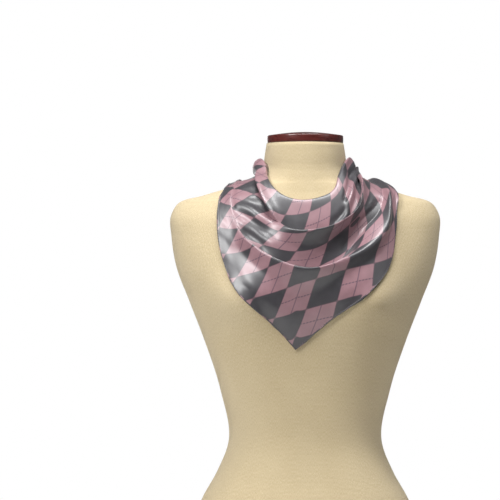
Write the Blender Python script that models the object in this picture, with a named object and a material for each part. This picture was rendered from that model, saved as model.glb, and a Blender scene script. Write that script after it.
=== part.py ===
"""Silk square scarf, folded corner to corner and tied at the nape, on a limbless dress form.

World axes: +Z up, the front of the form faces -Y, and +X is the right-hand side seen from the
front.  The origin is the middle of the form's flat base.  Lengths in the tables are in
millimetres and angles in degrees; meshes are written in metres.

A place on the form is given by three numbers: turn, the angle round the neck axis from the
front (positive towards +X); drop, the distance down the form's surface from the top of the
neck; and lift, the height above that surface.
"""
import math
from collections import namedtuple

import bpy
import numpy as np

MM = 0.001

# ---- driving sizes, mm -------------------------------------------------------------------
NECK_TOP = 688.0          # height of the form's neck, under the wooden cap
CAP_RADIUS_X = 54.5
CAP_RADIUS_Y = 53.0
CAP_EDGE = 11.0           # straight rim of the cap
CAP_DOME = 5.0            # how far its top is domed above the rim
CAP_BEVEL = 1.6
SEAM_GAP = 0.35           # between pieces that touch on the real thing
CLOTH_WALL = 1.0          # both layers of the folded silk
FOLD_ROUND = 1.7          # half the gap between the layers at a fold
LEAST_ROUND = 1.2         # the same where a fold opens out into a ripple

SHOULDER_CUT = 0.60       # station where the front drape ends and the shoulder wraps begin
HALF_CUT = 0.0015         # half the gap there, as a share of the way from middle to knot

# ---- the dress form: horizontal sections, from the neck down to the flat base ------------
FormSection = namedtuple("FormSection", "height half_width front back squareness")
FORM_SECTIONS = [
    FormSection(NECK_TOP, 55, 53, 56, 2.0),    # top of the neck
    FormSection(669, 58, 55, 58, 2.0),         # the neck's fullest ring
    FormSection(650, 60, 57, 60, 2.0),
    FormSection(639, 67, 60, 64, 2.0),         # root of the neck
    FormSection(628, 98, 64, 70, 2.0),         # shoulder slope
    FormSection(614, 145, 70, 77, 2.05),
    FormSection(600, 184, 78, 84, 2.1),        # shoulder end
    FormSection(584, 192, 87, 89, 2.2),
    FormSection(556, 191, 98, 93, 2.3),
    FormSection(513, 184, 112, 92, 2.3),       # upper chest
    FormSection(465, 166, 118, 88, 2.3),       # bust line
    FormSection(408, 144, 110, 84, 2.3),
    FormSection(337, 121, 97, 80, 2.3),
    FormSection(262, 109.5, 88, 82, 2.3),      # waist
    FormSection(219, 126, 93, 96, 2.3),
    FormSection(179, 148, 101, 108, 2.3),
    FormSection(121, 165, 106, 112, 2.3),      # hips
    FormSection(60, 169, 106, 108, 2.3),
    FormSection(0, 160, 100, 100, 2.3),        # flat base
]
BUST_HEIGHT = 468.0
BUST_TURN = 36.0
BUST_FULLNESS = 20.0
BUST_REACH_UP = 40.0
BUST_REACH_ROUND = 17.0

# ---- the scarf's fold lines, each from the left end of the knot to the right end ---------
FoldPoint = namedtuple("FoldPoint", "turn drop lift")

# The diagonal fold of the square, which lies round the neck.
NECK_EDGE = [
    FoldPoint(-158, 75, 9), FoldPoint(-140, 55, 8), FoldPoint(-115, 32, 7),
    FoldPoint(-90, 22, 7), FoldPoint(-66, 27, 8), FoldPoint(-51, 54, 8),
    FoldPoint(-39, 71, 8), FoldPoint(-22, 87, 8), FoldPoint(-5, 91, 8),
    FoldPoint(14, 87, 8), FoldPoint(26, 81, 8), FoldPoint(34, 68, 8),
    FoldPoint(39, 55, 9), FoldPoint(50, 39, 9), FoldPoint(66, 25, 8),
    FoldPoint(90, 21, 8), FoldPoint(115, 32, 8), FoldPoint(140, 55, 8),
    FoldPoint(158, 75, 9),
]
# The two big folds.  drop and lift are those of the edge that shows, and overlap is how far
# the cloth doubles back behind it; below zero it is a trough that much above the edge.
# side is 1 for a cowl, whose pocket opens upwards, and -1 for a tuck, whose edge hangs down.
FoldRow = namedtuple("FoldRow", "turn drop lift overlap side")
FIRST_FOLD = [
    FoldRow(-158, 87, 11, -4, -1), FoldRow(-130, 70, 12, 7, -1), FoldRow(-105, 58, 12, 12, -1),
    FoldRow(-85, 57, 12, 14, -1), FoldRow(-68, 64, 12, 14, -1), FoldRow(-54, 76, 12, 13, -1),
    FoldRow(-45, 90, 12, 13, -1), FoldRow(-34, 110, 11, 10, -1),
    FoldRow(-28, 120, 11, 3, -1), FoldRow(-22, 129, 10, -6, 0), FoldRow(-16, 136, 13, 4, 1),
    FoldRow(-6, 140, 20, 11, 1), FoldRow(4, 141, 25, 12, 1), FoldRow(18, 138, 27, 12, 1),
    FoldRow(29, 130, 26, 12, 1), FoldRow(37, 123, 23, 12, 1), FoldRow(43, 114, 20, 11, 1),
    FoldRow(48, 101, 17, 9, 1), FoldRow(54, 87, 13, 8, 1), FoldRow(64, 71, 13, 7, 1),
    FoldRow(82, 50, 13, 8, 1), FoldRow(110, 46, 12, 8, 1), FoldRow(135, 61, 12, 4, 1),
    FoldRow(158, 83, 11, -4, 1),
]
SECOND_FOLD = [
    FoldRow(-158, 98, 10, -4, 1), FoldRow(-130, 93, 9, -7, 1), FoldRow(-105, 84, 9, -7, 1),
    FoldRow(-85, 80, 9, -6, 1), FoldRow(-70, 96, 8, -6, 1), FoldRow(-60, 119, 8, -6, 1),
    FoldRow(-51, 143, 9, -4, 1), FoldRow(-42, 161, 12, 3, 1), FoldRow(-34, 171, 15, 8, 1),
    FoldRow(-22, 184, 21, 11, 1), FoldRow(-8, 191, 26, 15, 1), FoldRow(3, 193, 28, 14, 1),
    FoldRow(13, 191.5, 27, 8, 1), FoldRow(19, 190, 25, -2, 1), FoldRow(24, 188, 23, -11, 1),
    FoldRow(30, 184, 21, -20, 1), FoldRow(37, 178, 20, -26, 1), FoldRow(46, 167, 18, -30, 1),
    FoldRow(53, 154, 14, -25, 1), FoldRow(56.5, 141, 13, -18, 1),
    FoldRow(60, 129, 13, -12, 1), FoldRow(69, 110, 12, -10, 1), FoldRow(85, 86, 11, -9, 1),
    FoldRow(110, 83, 10, -9, 1), FoldRow(135, 90, 10, -8, 1), FoldRow(158, 98, 10, -5, 1),
]
INNER_LIFT = 5.5          # lift of the hidden layer of a fold

# The two hemmed edges of the square, which meet at the point on the chest.
LEFT_HEM = [
    FoldPoint(-158, 105, 8), FoldPoint(-148, 115, 6), FoldPoint(-130, 121, 5),
    FoldPoint(-110, 112, 5), FoldPoint(-90, 93, 6), FoldPoint(-75, 104, 5),
    FoldPoint(-66, 124, 4), FoldPoint(-60, 148, 4), FoldPoint(-56, 174, 3.5),
    FoldPoint(-50, 202, 3.5), FoldPoint(-40.5, 230, 3.5), FoldPoint(-26, 263, 3.5),
    FoldPoint(-8.5, 301, 3.5),
]
RIGHT_HEM = [
    FoldPoint(-8.5, 301, 3.5), FoldPoint(5, 277, 3.5), FoldPoint(20, 254, 3.5),
    FoldPoint(37, 229, 3.5), FoldPoint(50, 202, 3.5), FoldPoint(57, 166, 4),
    FoldPoint(61, 145, 5), FoldPoint(70, 126, 7), FoldPoint(88, 97, 9),
    FoldPoint(110, 114, 7), FoldPoint(130, 121, 5), FoldPoint(148, 115, 6),
    FoldPoint(158, 105, 8),
]

KNOT_WIDTH = 56.0
KNOT_HEIGHT = 27.0
KNOT_DEPTH = 21.0
KNOT_DROP = 91.0
KNOT_LIFT = 13.0

# The two ends of the scarf, below the knot: the middle line of each, with the half width of
# the folded cloth and how far its middle stands out from its edges.
TailPoint = namedtuple("TailPoint", "turn drop lift half_width crown")
LEFT_TAIL = [
    TailPoint(-160, 106, 12, 7, 3), TailPoint(-152, 118, 12, 12, 4.5),
    TailPoint(-147, 133, 10, 17, 6), TailPoint(-144, 148, 8, 17, 6),
    TailPoint(-142, 163, 7, 13, 5), TailPoint(-140, 174, 6, 7.5, 3),
    TailPoint(-139, 181, 5, 3, 1.5),
]
RIGHT_TAIL = [
    TailPoint(160, 106, 12, 7, 3), TailPoint(151, 119, 11, 13, 4.5),
    TailPoint(145, 135, 9, 21, 6), TailPoint(143, 151, 8, 24, 6.5),
    TailPoint(145, 166, 7, 18, 5.5), TailPoint(147, 177, 6, 9, 3.5),
    TailPoint(148, 184, 5, 3.5, 1.5),
]

# ---- mesh fineness ------------------------------------------------------------------------
FORM_SIDES = 52
STEPS_IN_SHOULDER = 3     # rings of the form from each section to the next, down to the chest
STEPS_IN_BODY = 2
CLOTH_RIBS = 37           # ribs of the front drape, one of them down to the point
WRAP_RIBS = 11            # ribs of each shoulder wrap
STEPS_BETWEEN_FOLDS = 2
STEPS_ROUND_FOLD = 2

COLOURS = {
    "jersey": (0.78, 0.70, 0.53),
    "wood": (0.13, 0.022, 0.016),
    "silk": (0.42, 0.27, 0.31),
}


def clear_scene():
    for thing in list(bpy.data.objects):
        bpy.data.objects.remove(thing, do_unlink=True)


def smooth_through(points, places, at):
    """Read a smooth curve through points, whose stations are places, at the stations given."""
    points = np.asarray(points, float)
    places = np.asarray(places, float)
    slopes = np.empty_like(points)
    steps = np.diff(places)[:, None]
    chords = np.diff(points, axis=0) / steps
    slopes[0] = chords[0]
    slopes[-1] = chords[-1]
    slopes[1:-1] = (chords[:-1] * steps[1:] + chords[1:] * steps[:-1]) / (steps[1:] + steps[:-1])
    span = np.clip(np.searchsorted(places, at, side="right") - 1, 0, len(places) - 2)
    step = steps[span]
    part = ((at - places[span])[:, None]) / step
    return ((2 * part**3 - 3 * part**2 + 1) * points[span]
            + (part**3 - 2 * part**2 + part) * step * slopes[span]
            + (3 * part**2 - 2 * part**3) * points[span + 1]
            + (part**3 - part**2) * step * slopes[span + 1])


def stations_along(points, stiffness=1.0):
    """Distance along a line of points, each step raised to a power."""
    steps = np.linalg.norm(np.diff(np.asarray(points, float), axis=0), axis=-1)
    return np.concatenate([[0.0], np.cumsum(np.maximum(steps, 1e-4)**stiffness)])


class Form:
    """The surface of the dress form, read by turn, drop and lift."""

    DROP_STEP = 1.0
    TURN_STEP = 2.0

    def __init__(self):
        table = np.array(FORM_SECTIONS, float)
        knots = stations_along(table[:, :2])
        self.sections = smooth_through(table, knots, np.linspace(0, knots[-1], 420))
        self.turns = np.arange(-180.0, 180.1, self.TURN_STEP)
        self.drops = np.arange(0.0, 420.0, self.DROP_STEP)
        self.grid = np.empty((len(self.turns), len(self.drops), 2))
        for row, turn in enumerate(self.turns):
            radius = self.radius(math.radians(turn), self.sections)
            height = self.sections[:, 0]
            run = np.concatenate([[0.0], np.cumsum(np.hypot(np.diff(radius), np.diff(height)))])
            self.grid[row, :, 0] = np.interp(self.drops, run, radius)
            self.grid[row, :, 1] = np.interp(self.drops, run, height)

    @staticmethod
    def radius(turn, sections):
        height, half_width, front, back, squareness = sections.T
        forward = np.cos(turn)
        depth = np.where(forward > 0, front, back)
        oval = ((np.abs(np.sin(turn)) / half_width)**squareness
                + (np.abs(forward) / depth)**squareness)**(-1 / squareness)
        off_bust = (abs(math.degrees(turn)) - BUST_TURN) / BUST_REACH_ROUND
        above_bust = (height - BUST_HEIGHT) / BUST_REACH_UP
        return oval + BUST_FULLNESS * np.exp(-above_bust**2 - off_bust**2)

    def surface(self, turn, drop):
        """Points of the bare surface; turn in degrees."""
        across = np.clip((turn + 180.0) / self.TURN_STEP, 0, len(self.turns) - 1.001)
        down = np.clip(drop / self.DROP_STEP, 0, len(self.drops) - 1.001)
        i = across.astype(int)
        j = down.astype(int)
        a = (across - i)[:, None]
        b = (down - j)[:, None]
        mixed = ((1 - a) * ((1 - b) * self.grid[i, j] + b * self.grid[i, j + 1])
                 + a * ((1 - b) * self.grid[i + 1, j] + b * self.grid[i + 1, j + 1]))
        angle = np.radians(turn)
        return np.stack([mixed[:, 0] * np.sin(angle), -mixed[:, 0] * np.cos(angle),
                         mixed[:, 1]], axis=1)

    def place(self, turn, drop, lift):
        """Points held lift above the surface."""
        turn, drop, lift = (np.atleast_1d(np.asarray(v, float)) for v in (turn, drop, lift))
        round_step = 1.5
        down_step = 4.0
        along = self.surface(turn + round_step, drop) - self.surface(turn - round_step, drop)
        down = self.surface(turn, drop + down_step) - self.surface(turn, drop - down_step)
        outward = np.cross(down, along)
        outward /= np.linalg.norm(outward, axis=1)[:, None]
        return self.surface(turn, drop) + outward * lift[:, None]


class FoldLine:
    """One fold line of the cloth, read by station: -1 at the left end, 1 at the right."""

    def __init__(self, form, left, right=None, middle=None):
        if right is None:
            split = middle
            left, right = left[:split + 1], left[split:]
            whole = np.array(left + right[1:], float)
            knots = stations_along(form.place(*whole[:, :3].T))
            fine = smooth_through(whole, knots, np.linspace(0, knots[-1], 400))
            cut = int(round(399 * knots[split] / knots[-1]))
            self.sides = [fine[:cut + 1], fine[cut:]]
        else:
            self.sides = []
            for side in (left, right):
                side = np.array(side, float)
                knots = stations_along(form.place(*side[:, :3].T))
                self.sides.append(smooth_through(side, knots, np.linspace(0, knots[-1], 200)))
        self.runs = []
        for side in self.sides:
            run = stations_along(form.place(*side[:, :3].T))
            self.runs.append(run / run[-1])

    def read(self, station):
        left, right = self.sides
        left_run, right_run = self.runs
        rows = np.empty((len(station), left.shape[1]))
        for column in range(left.shape[1]):
            rows[:, column] = np.where(
                station < 0,
                np.interp(1 + station, left_run, left[:, column]),
                np.interp(station, right_run, right[:, column]))
        return rows


class Scarf:
    """The folded square, as ribs that run from its neck edge down to its hems."""

    def __init__(self, form):
        self.form = form
        self.neck = FoldLine(form, NECK_EDGE, middle=8)
        self.first = FoldLine(form, FIRST_FOLD, middle=11)
        self.second = FoldLine(form, SECOND_FOLD, middle=10)
        self.hem = FoldLine(form, LEFT_HEM, RIGHT_HEM)

    @staticmethod
    def two_turns(fold):
        """The lower and upper turns of a fold, from the edge that shows."""
        turn, drop, lift, overlap, side = fold.T
        gap = lift - INNER_LIFT
        lower = np.stack([turn, drop + overlap * (1 + side) / 2, lift - gap * (1 + side) / 2], 1)
        upper = np.stack([turn, drop - overlap * (1 - side) / 2, lift - gap * (1 - side) / 2], 1)
        return lower, upper

    def rib_controls(self, station):
        """The points that every rib passes through, and how many steps follow each."""
        neck = self.neck.read(station)
        first = self.first.read(station)
        second = self.second.read(station)
        hem = self.hem.read(station)
        first_lower, first_upper = self.two_turns(first)
        second_lower, second_upper = self.two_turns(second)
        rows = [neck + (0, 7, -4.5), neck]
        steps = [STEPS_ROUND_FOLD, STEPS_BETWEEN_FOLDS]

        def midway(upper, lower, share, lift):
            row = upper * (1 - share) + lower * share
            row[:, 2] = lift
            rows.append(row)
            steps.append(STEPS_BETWEEN_FOLDS)

        def fold(row, lower, upper):
            """Both turns of a fold, each as two points: across its gap, or along its slope."""
            doubled = np.clip((row[:, 3] + 1.0) / 6.0, 0, 1)
            doubled = doubled**2 * (3 - 2 * doubled)
            along = np.clip(-row[:, 3] / 4, LEAST_ROUND, FOLD_ROUND)
            for turn in (lower, upper):
                for layer in (-1, 1):
                    pair = turn.copy()
                    pair[:, 1] += layer * (1 - doubled) * along
                    pair[:, 2] += layer * row[:, 4] * doubled * FOLD_ROUND
                    rows.append(pair)
                    steps.append(STEPS_ROUND_FOLD)
            steps[-1] = STEPS_BETWEEN_FOLDS

        midway(neck, first_lower, 0.5, 0.5 * (neck[:, 2] + first_lower[:, 2]) - 0.5)
        fold(first, first_lower, first_upper)
        midway(first_upper, second_lower, 0.55,
               0.5 * (first_upper[:, 2] + second_lower[:, 2]) + 1.0)
        fold(second, second_lower, second_upper)
        midway(second_upper, hem, 0.3, 0.4 * second_upper[:, 2] + 0.6 * hem[:, 2])
        midway(second_upper, hem, 0.65, 0.15 * second_upper[:, 2] + 0.85 * hem[:, 2])
        rows.append(hem)
        return rows, steps

    def grid(self, stations):
        """A grid of points, one rib for each station."""
        rows, steps = self.rib_controls(np.asarray(stations, float))
        controls = np.stack([self.form.place(*row.T) for row in rows], axis=1)
        ribs = []
        for rib in controls:
            knots = stations_along(rib, 0.6)
            at = np.concatenate([
                np.linspace(knots[i], knots[i + 1], steps[i], endpoint=False)
                for i in range(len(steps))] + [knots[-1:]])
            ribs.append(smooth_through(rib, knots, at))
        return np.array(ribs)


def material(name, colour, roughness, sheen=0.0):
    finish = bpy.data.materials.new(name)
    finish.use_nodes = True
    shader = finish.node_tree.nodes["Principled BSDF"]
    shader.inputs["Base Color"].default_value = (*colour, 1.0)
    shader.inputs["Roughness"].default_value = roughness
    shader.inputs["Metallic"].default_value = 0.0
    shader.inputs["Sheen Weight"].default_value = sheen
    finish.diffuse_color = (*colour, 1.0)
    return finish


def add_object(name, points, faces, finish):
    mesh = bpy.data.meshes.new(name)
    mesh.from_pydata([tuple(p * MM) for p in np.asarray(points, float)], [], faces)
    mesh.materials.append(finish)
    mesh.shade_smooth()
    piece = bpy.data.objects.new(name, mesh)
    bpy.context.scene.collection.objects.link(piece)
    return piece


def grid_faces(columns, rows, first=0, closed=False):
    """Quads of a grid whose points run down each column in turn."""
    faces = []
    for i in range(columns if closed else columns - 1):
        here = first + i * rows
        there = first + ((i + 1) % columns) * rows
        for j in range(rows - 1):
            faces.append((here + j, here + j + 1, there + j + 1, there + j))
    return faces


def outward(grid):
    """Unit normals of a grid of cloth, away from the form."""
    normal = np.cross(np.gradient(grid, axis=1), np.gradient(grid, axis=0))
    return normal / np.linalg.norm(normal, axis=2)[:, :, None]


def cloth_wall(name, grid, normal, thickness, finish):
    """Give a grid of cloth its thickness, half to each side, and close its four edges."""
    columns, rows = grid.shape[:2]
    outer = (grid + normal * thickness / 2).reshape(-1, 3)
    inner = (grid - normal * thickness / 2).reshape(-1, 3)
    count = columns * rows
    faces = grid_faces(columns, rows)
    faces += [tuple(count + v for v in reversed(face)) for face in grid_faces(columns, rows)]
    rim = ([i * rows for i in range(columns)]
           + [(columns - 1) * rows + j for j in range(1, rows)]
           + [i * rows + rows - 1 for i in range(columns - 2, -1, -1)]
           + [j for j in range(rows - 2, 0, -1)])
    for here, there in zip(rim, rim[1:] + rim[:1]):
        faces.append((here, there, there + count, here + count))
    return add_object(name, np.concatenate([outer, inner]), faces, finish)


def build_form(form, finish):
    """The jersey-covered body: one closed loft from the neck to the flat base."""
    table = np.array(FORM_SECTIONS, float)
    knots = stations_along(table[:, :2])
    chest = [section.height for section in FORM_SECTIONS].index(513)
    at = np.concatenate([
        np.linspace(knots[i], knots[i + 1], STEPS_IN_SHOULDER if i < chest else STEPS_IN_BODY,
                    endpoint=False)
        for i in range(len(knots) - 1)] + [knots[-1:]])
    sections = smooth_through(table, knots, at)
    rings = len(sections)
    points = []
    for side in range(FORM_SIDES):
        turn = 2 * math.pi * side / FORM_SIDES
        radius = form.radius(math.remainder(turn, 2 * math.pi), sections)
        points.append(np.stack([radius * math.sin(turn), -radius * math.cos(turn),
                                sections[:, 0]], axis=1))
    faces = grid_faces(FORM_SIDES, rings, closed=True)
    faces.append(tuple(side * rings for side in range(FORM_SIDES)))
    faces.append(tuple(side * rings + rings - 1 for side in reversed(range(FORM_SIDES))))
    return add_object("form_torso", np.concatenate(points), faces, finish)


def build_cap(finish):
    """The turned wooden cap that closes the neck."""
    base = NECK_TOP + SEAM_GAP
    top = base + CAP_EDGE
    profile = [(1.0, base, -CAP_BEVEL), (1.0, base + CAP_BEVEL, 0.0),
               (1.0, top - CAP_BEVEL, 0.0), (1.0, top, -CAP_BEVEL)]
    dome = [(share, top + CAP_DOME * math.cos(share * math.pi / 2), -CAP_BEVEL * share)
            for share in (0.85, 0.65, 0.4, 0.18)]
    rings = profile + dome
    points = []
    sides = 48
    for side in range(sides):
        turn = 2 * math.pi * side / sides
        for share, height, inset in rings:
            points.append(((CAP_RADIUS_X + inset) * share * math.sin(turn),
                           -(CAP_RADIUS_Y + inset) * share * math.cos(turn), height))
    faces = [tuple(reversed(face)) for face in grid_faces(sides, len(rings), closed=True)]
    faces.append(tuple(side * len(rings) for side in reversed(range(sides))))
    crown = len(points)
    points.append((0.0, 0.0, top + CAP_DOME))
    for side in range(sides):
        here = side * len(rings) + len(rings) - 1
        there = ((side + 1) % sides) * len(rings) + len(rings) - 1
        faces.append((here, there, crown))
    return add_object("neck_cap", points, faces, finish)


def build_scarf(form, finish):
    """The front drape and the two shoulder wraps, cut from one run of ribs."""
    front = np.linspace(-SHOULDER_CUT + HALF_CUT, SHOULDER_CUT - HALF_CUT, CLOTH_RIBS)
    side = np.linspace(SHOULDER_CUT + HALF_CUT, 1.0, WRAP_RIBS)
    stations = np.concatenate([-side[::-1], front, side])
    grid = Scarf(form).grid(stations)
    normal = outward(grid)
    stretches = (("left_wrap", slice(0, WRAP_RIBS)),
                 ("front_drape", slice(WRAP_RIBS, WRAP_RIBS + CLOTH_RIBS)),
                 ("right_wrap", slice(WRAP_RIBS + CLOTH_RIBS, None)))
    for name, ribs in stretches:
        cloth_wall(name, grid[ribs], normal[ribs], CLOTH_WALL, finish("silk_" + name))


def build_tail(form, name, table, finish):
    """One end of the scarf: a folded leaf of cloth, crowned away from the form."""
    table = np.array(table, float)
    knots = stations_along(form.place(*table[:, :3].T))
    spine = smooth_through(table, knots, np.linspace(0, knots[-1], 13))
    middle = form.place(*spine[:, :3].T)
    behind = form.place(*(spine[:, :3] + (0, 0, 1)).T) - middle
    along = np.gradient(middle, axis=0)
    side = np.cross(along, behind)
    side /= np.linalg.norm(side, axis=1)[:, None]
    columns = []
    for share in np.linspace(-1, 1, 9):
        crown = math.cos(share * math.pi / 2)
        columns.append(middle + side * (share * spine[:, 3])[:, None]
                       + behind * ((crown - 0.6) * spine[:, 4])[:, None])
    columns = np.array(columns)
    return cloth_wall(name, columns, outward(columns), CLOTH_WALL, finish)


def build_knot(form, finish):
    """The square knot at the nape: one rounded bundle, pinched where its bands cross."""
    centre = form.place(180, KNOT_DROP, KNOT_LIFT)[0]
    rings = 15
    sides = 24
    points = []
    for side in range(sides):
        angle = 2 * math.pi * side / sides
        for ring in range(1, rings):
            share = -1 + 2 * ring / rings
            across = math.sin(share * math.pi / 2)
            girth = math.sqrt(1 - across**2) * (1 + 0.22 * math.cos(2.6 * math.pi * share))
            points.append((centre[0] + KNOT_WIDTH / 2 * across,
                           centre[1] + KNOT_DEPTH / 2 * girth * math.cos(angle),
                           centre[2] + KNOT_HEIGHT / 2 * girth * math.sin(angle)
                           + 1.5 * across))
    faces = [tuple(reversed(face)) for face in grid_faces(sides, rings - 1, closed=True)]
    for end, offset in ((0, -1), (rings - 2, 1)):
        pole = len(points)
        points.append((centre[0] + offset * KNOT_WIDTH / 2, centre[1], centre[2] + 1.5 * offset))
        for side in range(sides):
            here = side * (rings - 1) + end
            there = ((side + 1) % sides) * (rings - 1) + end
            faces.append((there, here, pole) if offset < 0 else (here, there, pole))
    return add_object("knot", points, faces, finish)


clear_scene()
dress_form = Form()
build_form(dress_form, material("jersey", COLOURS["jersey"], 0.85))
build_cap(material("cap_wood", COLOURS["wood"], 0.25))
build_scarf(dress_form, lambda name: material(name, COLOURS["silk"], 0.35, 0.3))
build_knot(dress_form, material("silk_knot", COLOURS["silk"], 0.35, 0.3))
build_tail(dress_form, "left_tail", LEFT_TAIL, material("silk_left_end", COLOURS["silk"], 0.35, 0.3))
build_tail(dress_form, "right_tail", RIGHT_TAIL,
           material("silk_right_end", COLOURS["silk"], 0.35, 0.3))
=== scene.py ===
"""Silk square scarf on a limbless dress form: the form, its turned cap, the folded and knotted
silk, and the plain studio round them.

World axes: +Z up, the front of the form faces -Y, and +X is the right-hand side seen from the
front.  Tables are in millimetres and degrees, meshes in metres.
"""

import math
from collections import namedtuple

import bpy
import numpy as np
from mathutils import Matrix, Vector


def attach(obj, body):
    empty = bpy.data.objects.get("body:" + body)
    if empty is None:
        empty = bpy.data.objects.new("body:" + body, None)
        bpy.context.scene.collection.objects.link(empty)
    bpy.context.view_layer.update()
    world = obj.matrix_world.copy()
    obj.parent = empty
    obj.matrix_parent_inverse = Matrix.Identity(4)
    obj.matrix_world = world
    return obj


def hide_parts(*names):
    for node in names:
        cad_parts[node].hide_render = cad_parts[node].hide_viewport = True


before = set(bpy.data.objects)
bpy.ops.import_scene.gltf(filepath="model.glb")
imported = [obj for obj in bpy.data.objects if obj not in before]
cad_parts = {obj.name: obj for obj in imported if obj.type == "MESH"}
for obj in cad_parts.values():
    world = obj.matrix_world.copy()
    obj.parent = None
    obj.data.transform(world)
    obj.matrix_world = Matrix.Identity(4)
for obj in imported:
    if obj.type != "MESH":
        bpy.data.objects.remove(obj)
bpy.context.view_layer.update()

# ==== The dress form ========================================================================
# A padded display torso cut off flat at the hips.  Cream cotton jersey is stretched over it
# and drawn in at the top of the neck, where the wooden cap covers its edge.

MM = 0.001
NECK_TOP = 688.0
FormSection = namedtuple("FormSection", "height half_width front back squareness")
FORM_SECTIONS = [
    FormSection(NECK_TOP, 55, 53, 56, 2.0),    # top of the neck
    FormSection(669, 58, 55, 58, 2.0),         # the neck's fullest ring
    FormSection(650, 60, 57, 60, 2.0),
    FormSection(639, 67, 60, 64, 2.0),         # root of the neck
    FormSection(628, 98, 64, 70, 2.0),         # shoulder slope
    FormSection(614, 145, 70, 77, 2.05),
    FormSection(600, 184, 78, 84, 2.1),        # shoulder end
    FormSection(584, 192, 87, 89, 2.2),
    FormSection(556, 191, 98, 93, 2.3),
    FormSection(513, 184, 112, 92, 2.3),       # upper chest
    FormSection(465, 166, 118, 88, 2.3),       # bust line
    FormSection(408, 144, 110, 84, 2.3),
    FormSection(337, 121, 97, 80, 2.3),
    FormSection(262, 109.5, 88, 82, 2.3),      # waist
    FormSection(219, 126, 93, 96, 2.3),
    FormSection(179, 148, 101, 108, 2.3),
    FormSection(121, 165, 106, 112, 2.3),      # hips
    FormSection(60, 169, 106, 108, 2.3),
    FormSection(0, 160, 100, 100, 2.3),        # flat base
]
BUST_HEIGHT = 468.0
BUST_TURN = 36.0
BUST_FULLNESS = 20.0
BUST_REACH_UP = 40.0
BUST_REACH_ROUND = 17.0
FORM_SIDES = 224
FORM_RINGS = 180
SEAM_WELD = 0.00001
JERSEY_CREAM = (0.76, 0.645, 0.430)
JERSEY_SHADE = (0.54, 0.420, 0.230)
# painted shade: the colour that the knit's hollows are darkened towards
JERSEY_HOLLOW_SHADE = (0.38, 0.30, 0.19)
JERSEY_FACE = 150.0           # mm round the form that its jersey's map calls one radian


def smooth_through(points, places, at):
    """Read a smooth curve through points, whose stations are places, at the stations given."""
    points = np.asarray(points, float)
    places = np.asarray(places, float)
    slopes = np.empty_like(points)
    steps = np.diff(places)[:, None]
    chords = np.diff(points, axis=0) / steps
    slopes[0] = chords[0]
    slopes[-1] = chords[-1]
    slopes[1:-1] = (chords[:-1] * steps[1:] + chords[1:] * steps[:-1]) / (steps[1:] + steps[:-1])
    span = np.clip(np.searchsorted(places, at, side="right") - 1, 0, len(places) - 2)
    step = steps[span]
    part = ((at - places[span])[:, None]) / step
    return ((2 * part**3 - 3 * part**2 + 1) * points[span]
            + (part**3 - 2 * part**2 + part) * step * slopes[span]
            + (3 * part**2 - 2 * part**3) * points[span + 1]
            + (part**3 - part**2) * step * slopes[span + 1])


def soft_step(part):
    """Ease from 0 to 1 as part goes from 0 to 1, and stay there beyond."""
    part = np.clip(part, 0, 1)
    return part**2 * (3 - 2 * part)


def stations_along(points, stiffness=1.0):
    """Distance along a line of points, each step raised to a power."""
    steps = np.linalg.norm(np.diff(np.asarray(points, float), axis=0), axis=-1)
    return np.concatenate([[0.0], np.cumsum(np.maximum(steps, 1e-4)**stiffness)])


class Form:
    """The surface of the dress form, read by turn, drop and lift.

    turn is the angle round the neck axis from the front, positive towards +X; drop is the
    distance down the surface from the top of the neck; lift is the height above it.
    """

    DROP_STEP = 1.0
    DROP_END = 420.0
    TURN_STEP = 2.0
    SECTIONS = 420

    def __init__(self):
        table = np.array(FORM_SECTIONS, float)
        knots = stations_along(table[:, :2])
        self.sections = smooth_through(table, knots, np.linspace(0, knots[-1], self.SECTIONS))
        self.turns = np.arange(-180.0, 180.1, self.TURN_STEP)
        self.drops = np.arange(0.0, self.DROP_END, self.DROP_STEP)
        self.grid = np.empty((len(self.turns), len(self.drops), 2))
        for row, turn in enumerate(self.turns):
            radius = self.radius(math.radians(turn), self.sections)
            height = self.sections[:, 0]
            run = np.concatenate([[0.0], np.cumsum(np.hypot(np.diff(radius), np.diff(height)))])
            self.grid[row, :, 0] = np.interp(self.drops, run, radius)
            self.grid[row, :, 1] = np.interp(self.drops, run, height)

    @staticmethod
    def radius(turn, sections):
        """How far the form reaches out at a turn, at the height of each section."""
        height, half_width, front, back, squareness = sections.T
        forward = np.cos(turn)
        depth = np.where(forward > 0, front, back)
        oval = ((np.abs(np.sin(turn)) / half_width)**squareness
                + (np.abs(forward) / depth)**squareness)**(-1 / squareness)
        off_bust = (abs(math.degrees(turn)) - BUST_TURN) / BUST_REACH_ROUND
        above_bust = (height - BUST_HEIGHT) / BUST_REACH_UP
        return oval + BUST_FULLNESS * np.exp(-above_bust**2 - off_bust**2)

    def surface(self, turn, drop):
        """Points on the form."""
        across = np.clip((turn + 180.0) / self.TURN_STEP, 0, len(self.turns) - 1.001)
        down = np.clip(drop / self.DROP_STEP, 0, len(self.drops) - 1.001)
        i = across.astype(int)
        j = down.astype(int)
        a = (across - i)[..., None]
        b = (down - j)[..., None]
        mixed = ((1 - a) * ((1 - b) * self.grid[i, j] + b * self.grid[i, j + 1])
                 + a * ((1 - b) * self.grid[i + 1, j] + b * self.grid[i + 1, j + 1]))
        angle = np.radians(turn)
        return np.stack([mixed[..., 0] * np.sin(angle), -mixed[..., 0] * np.cos(angle),
                         mixed[..., 1]], axis=-1)

    def outward(self, turn, drop):
        """The form's normals, taken over a few millimetres so that they change softly."""
        round_step = 1.5
        down_step = 4.0
        along = self.surface(turn + round_step, drop) - self.surface(turn - round_step, drop)
        down = self.surface(turn, drop + down_step) - self.surface(turn, drop - down_step)
        normal = np.cross(down, along)
        return normal / np.linalg.norm(normal, axis=-1)[..., None]

    def place(self, turn, drop, lift):
        """Points held lift above the surface."""
        turn, drop, lift = (np.atleast_1d(np.asarray(v, float)) for v in (turn, drop, lift))
        return self.surface(turn, drop) + self.outward(turn, drop) * lift[..., None]


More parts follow.
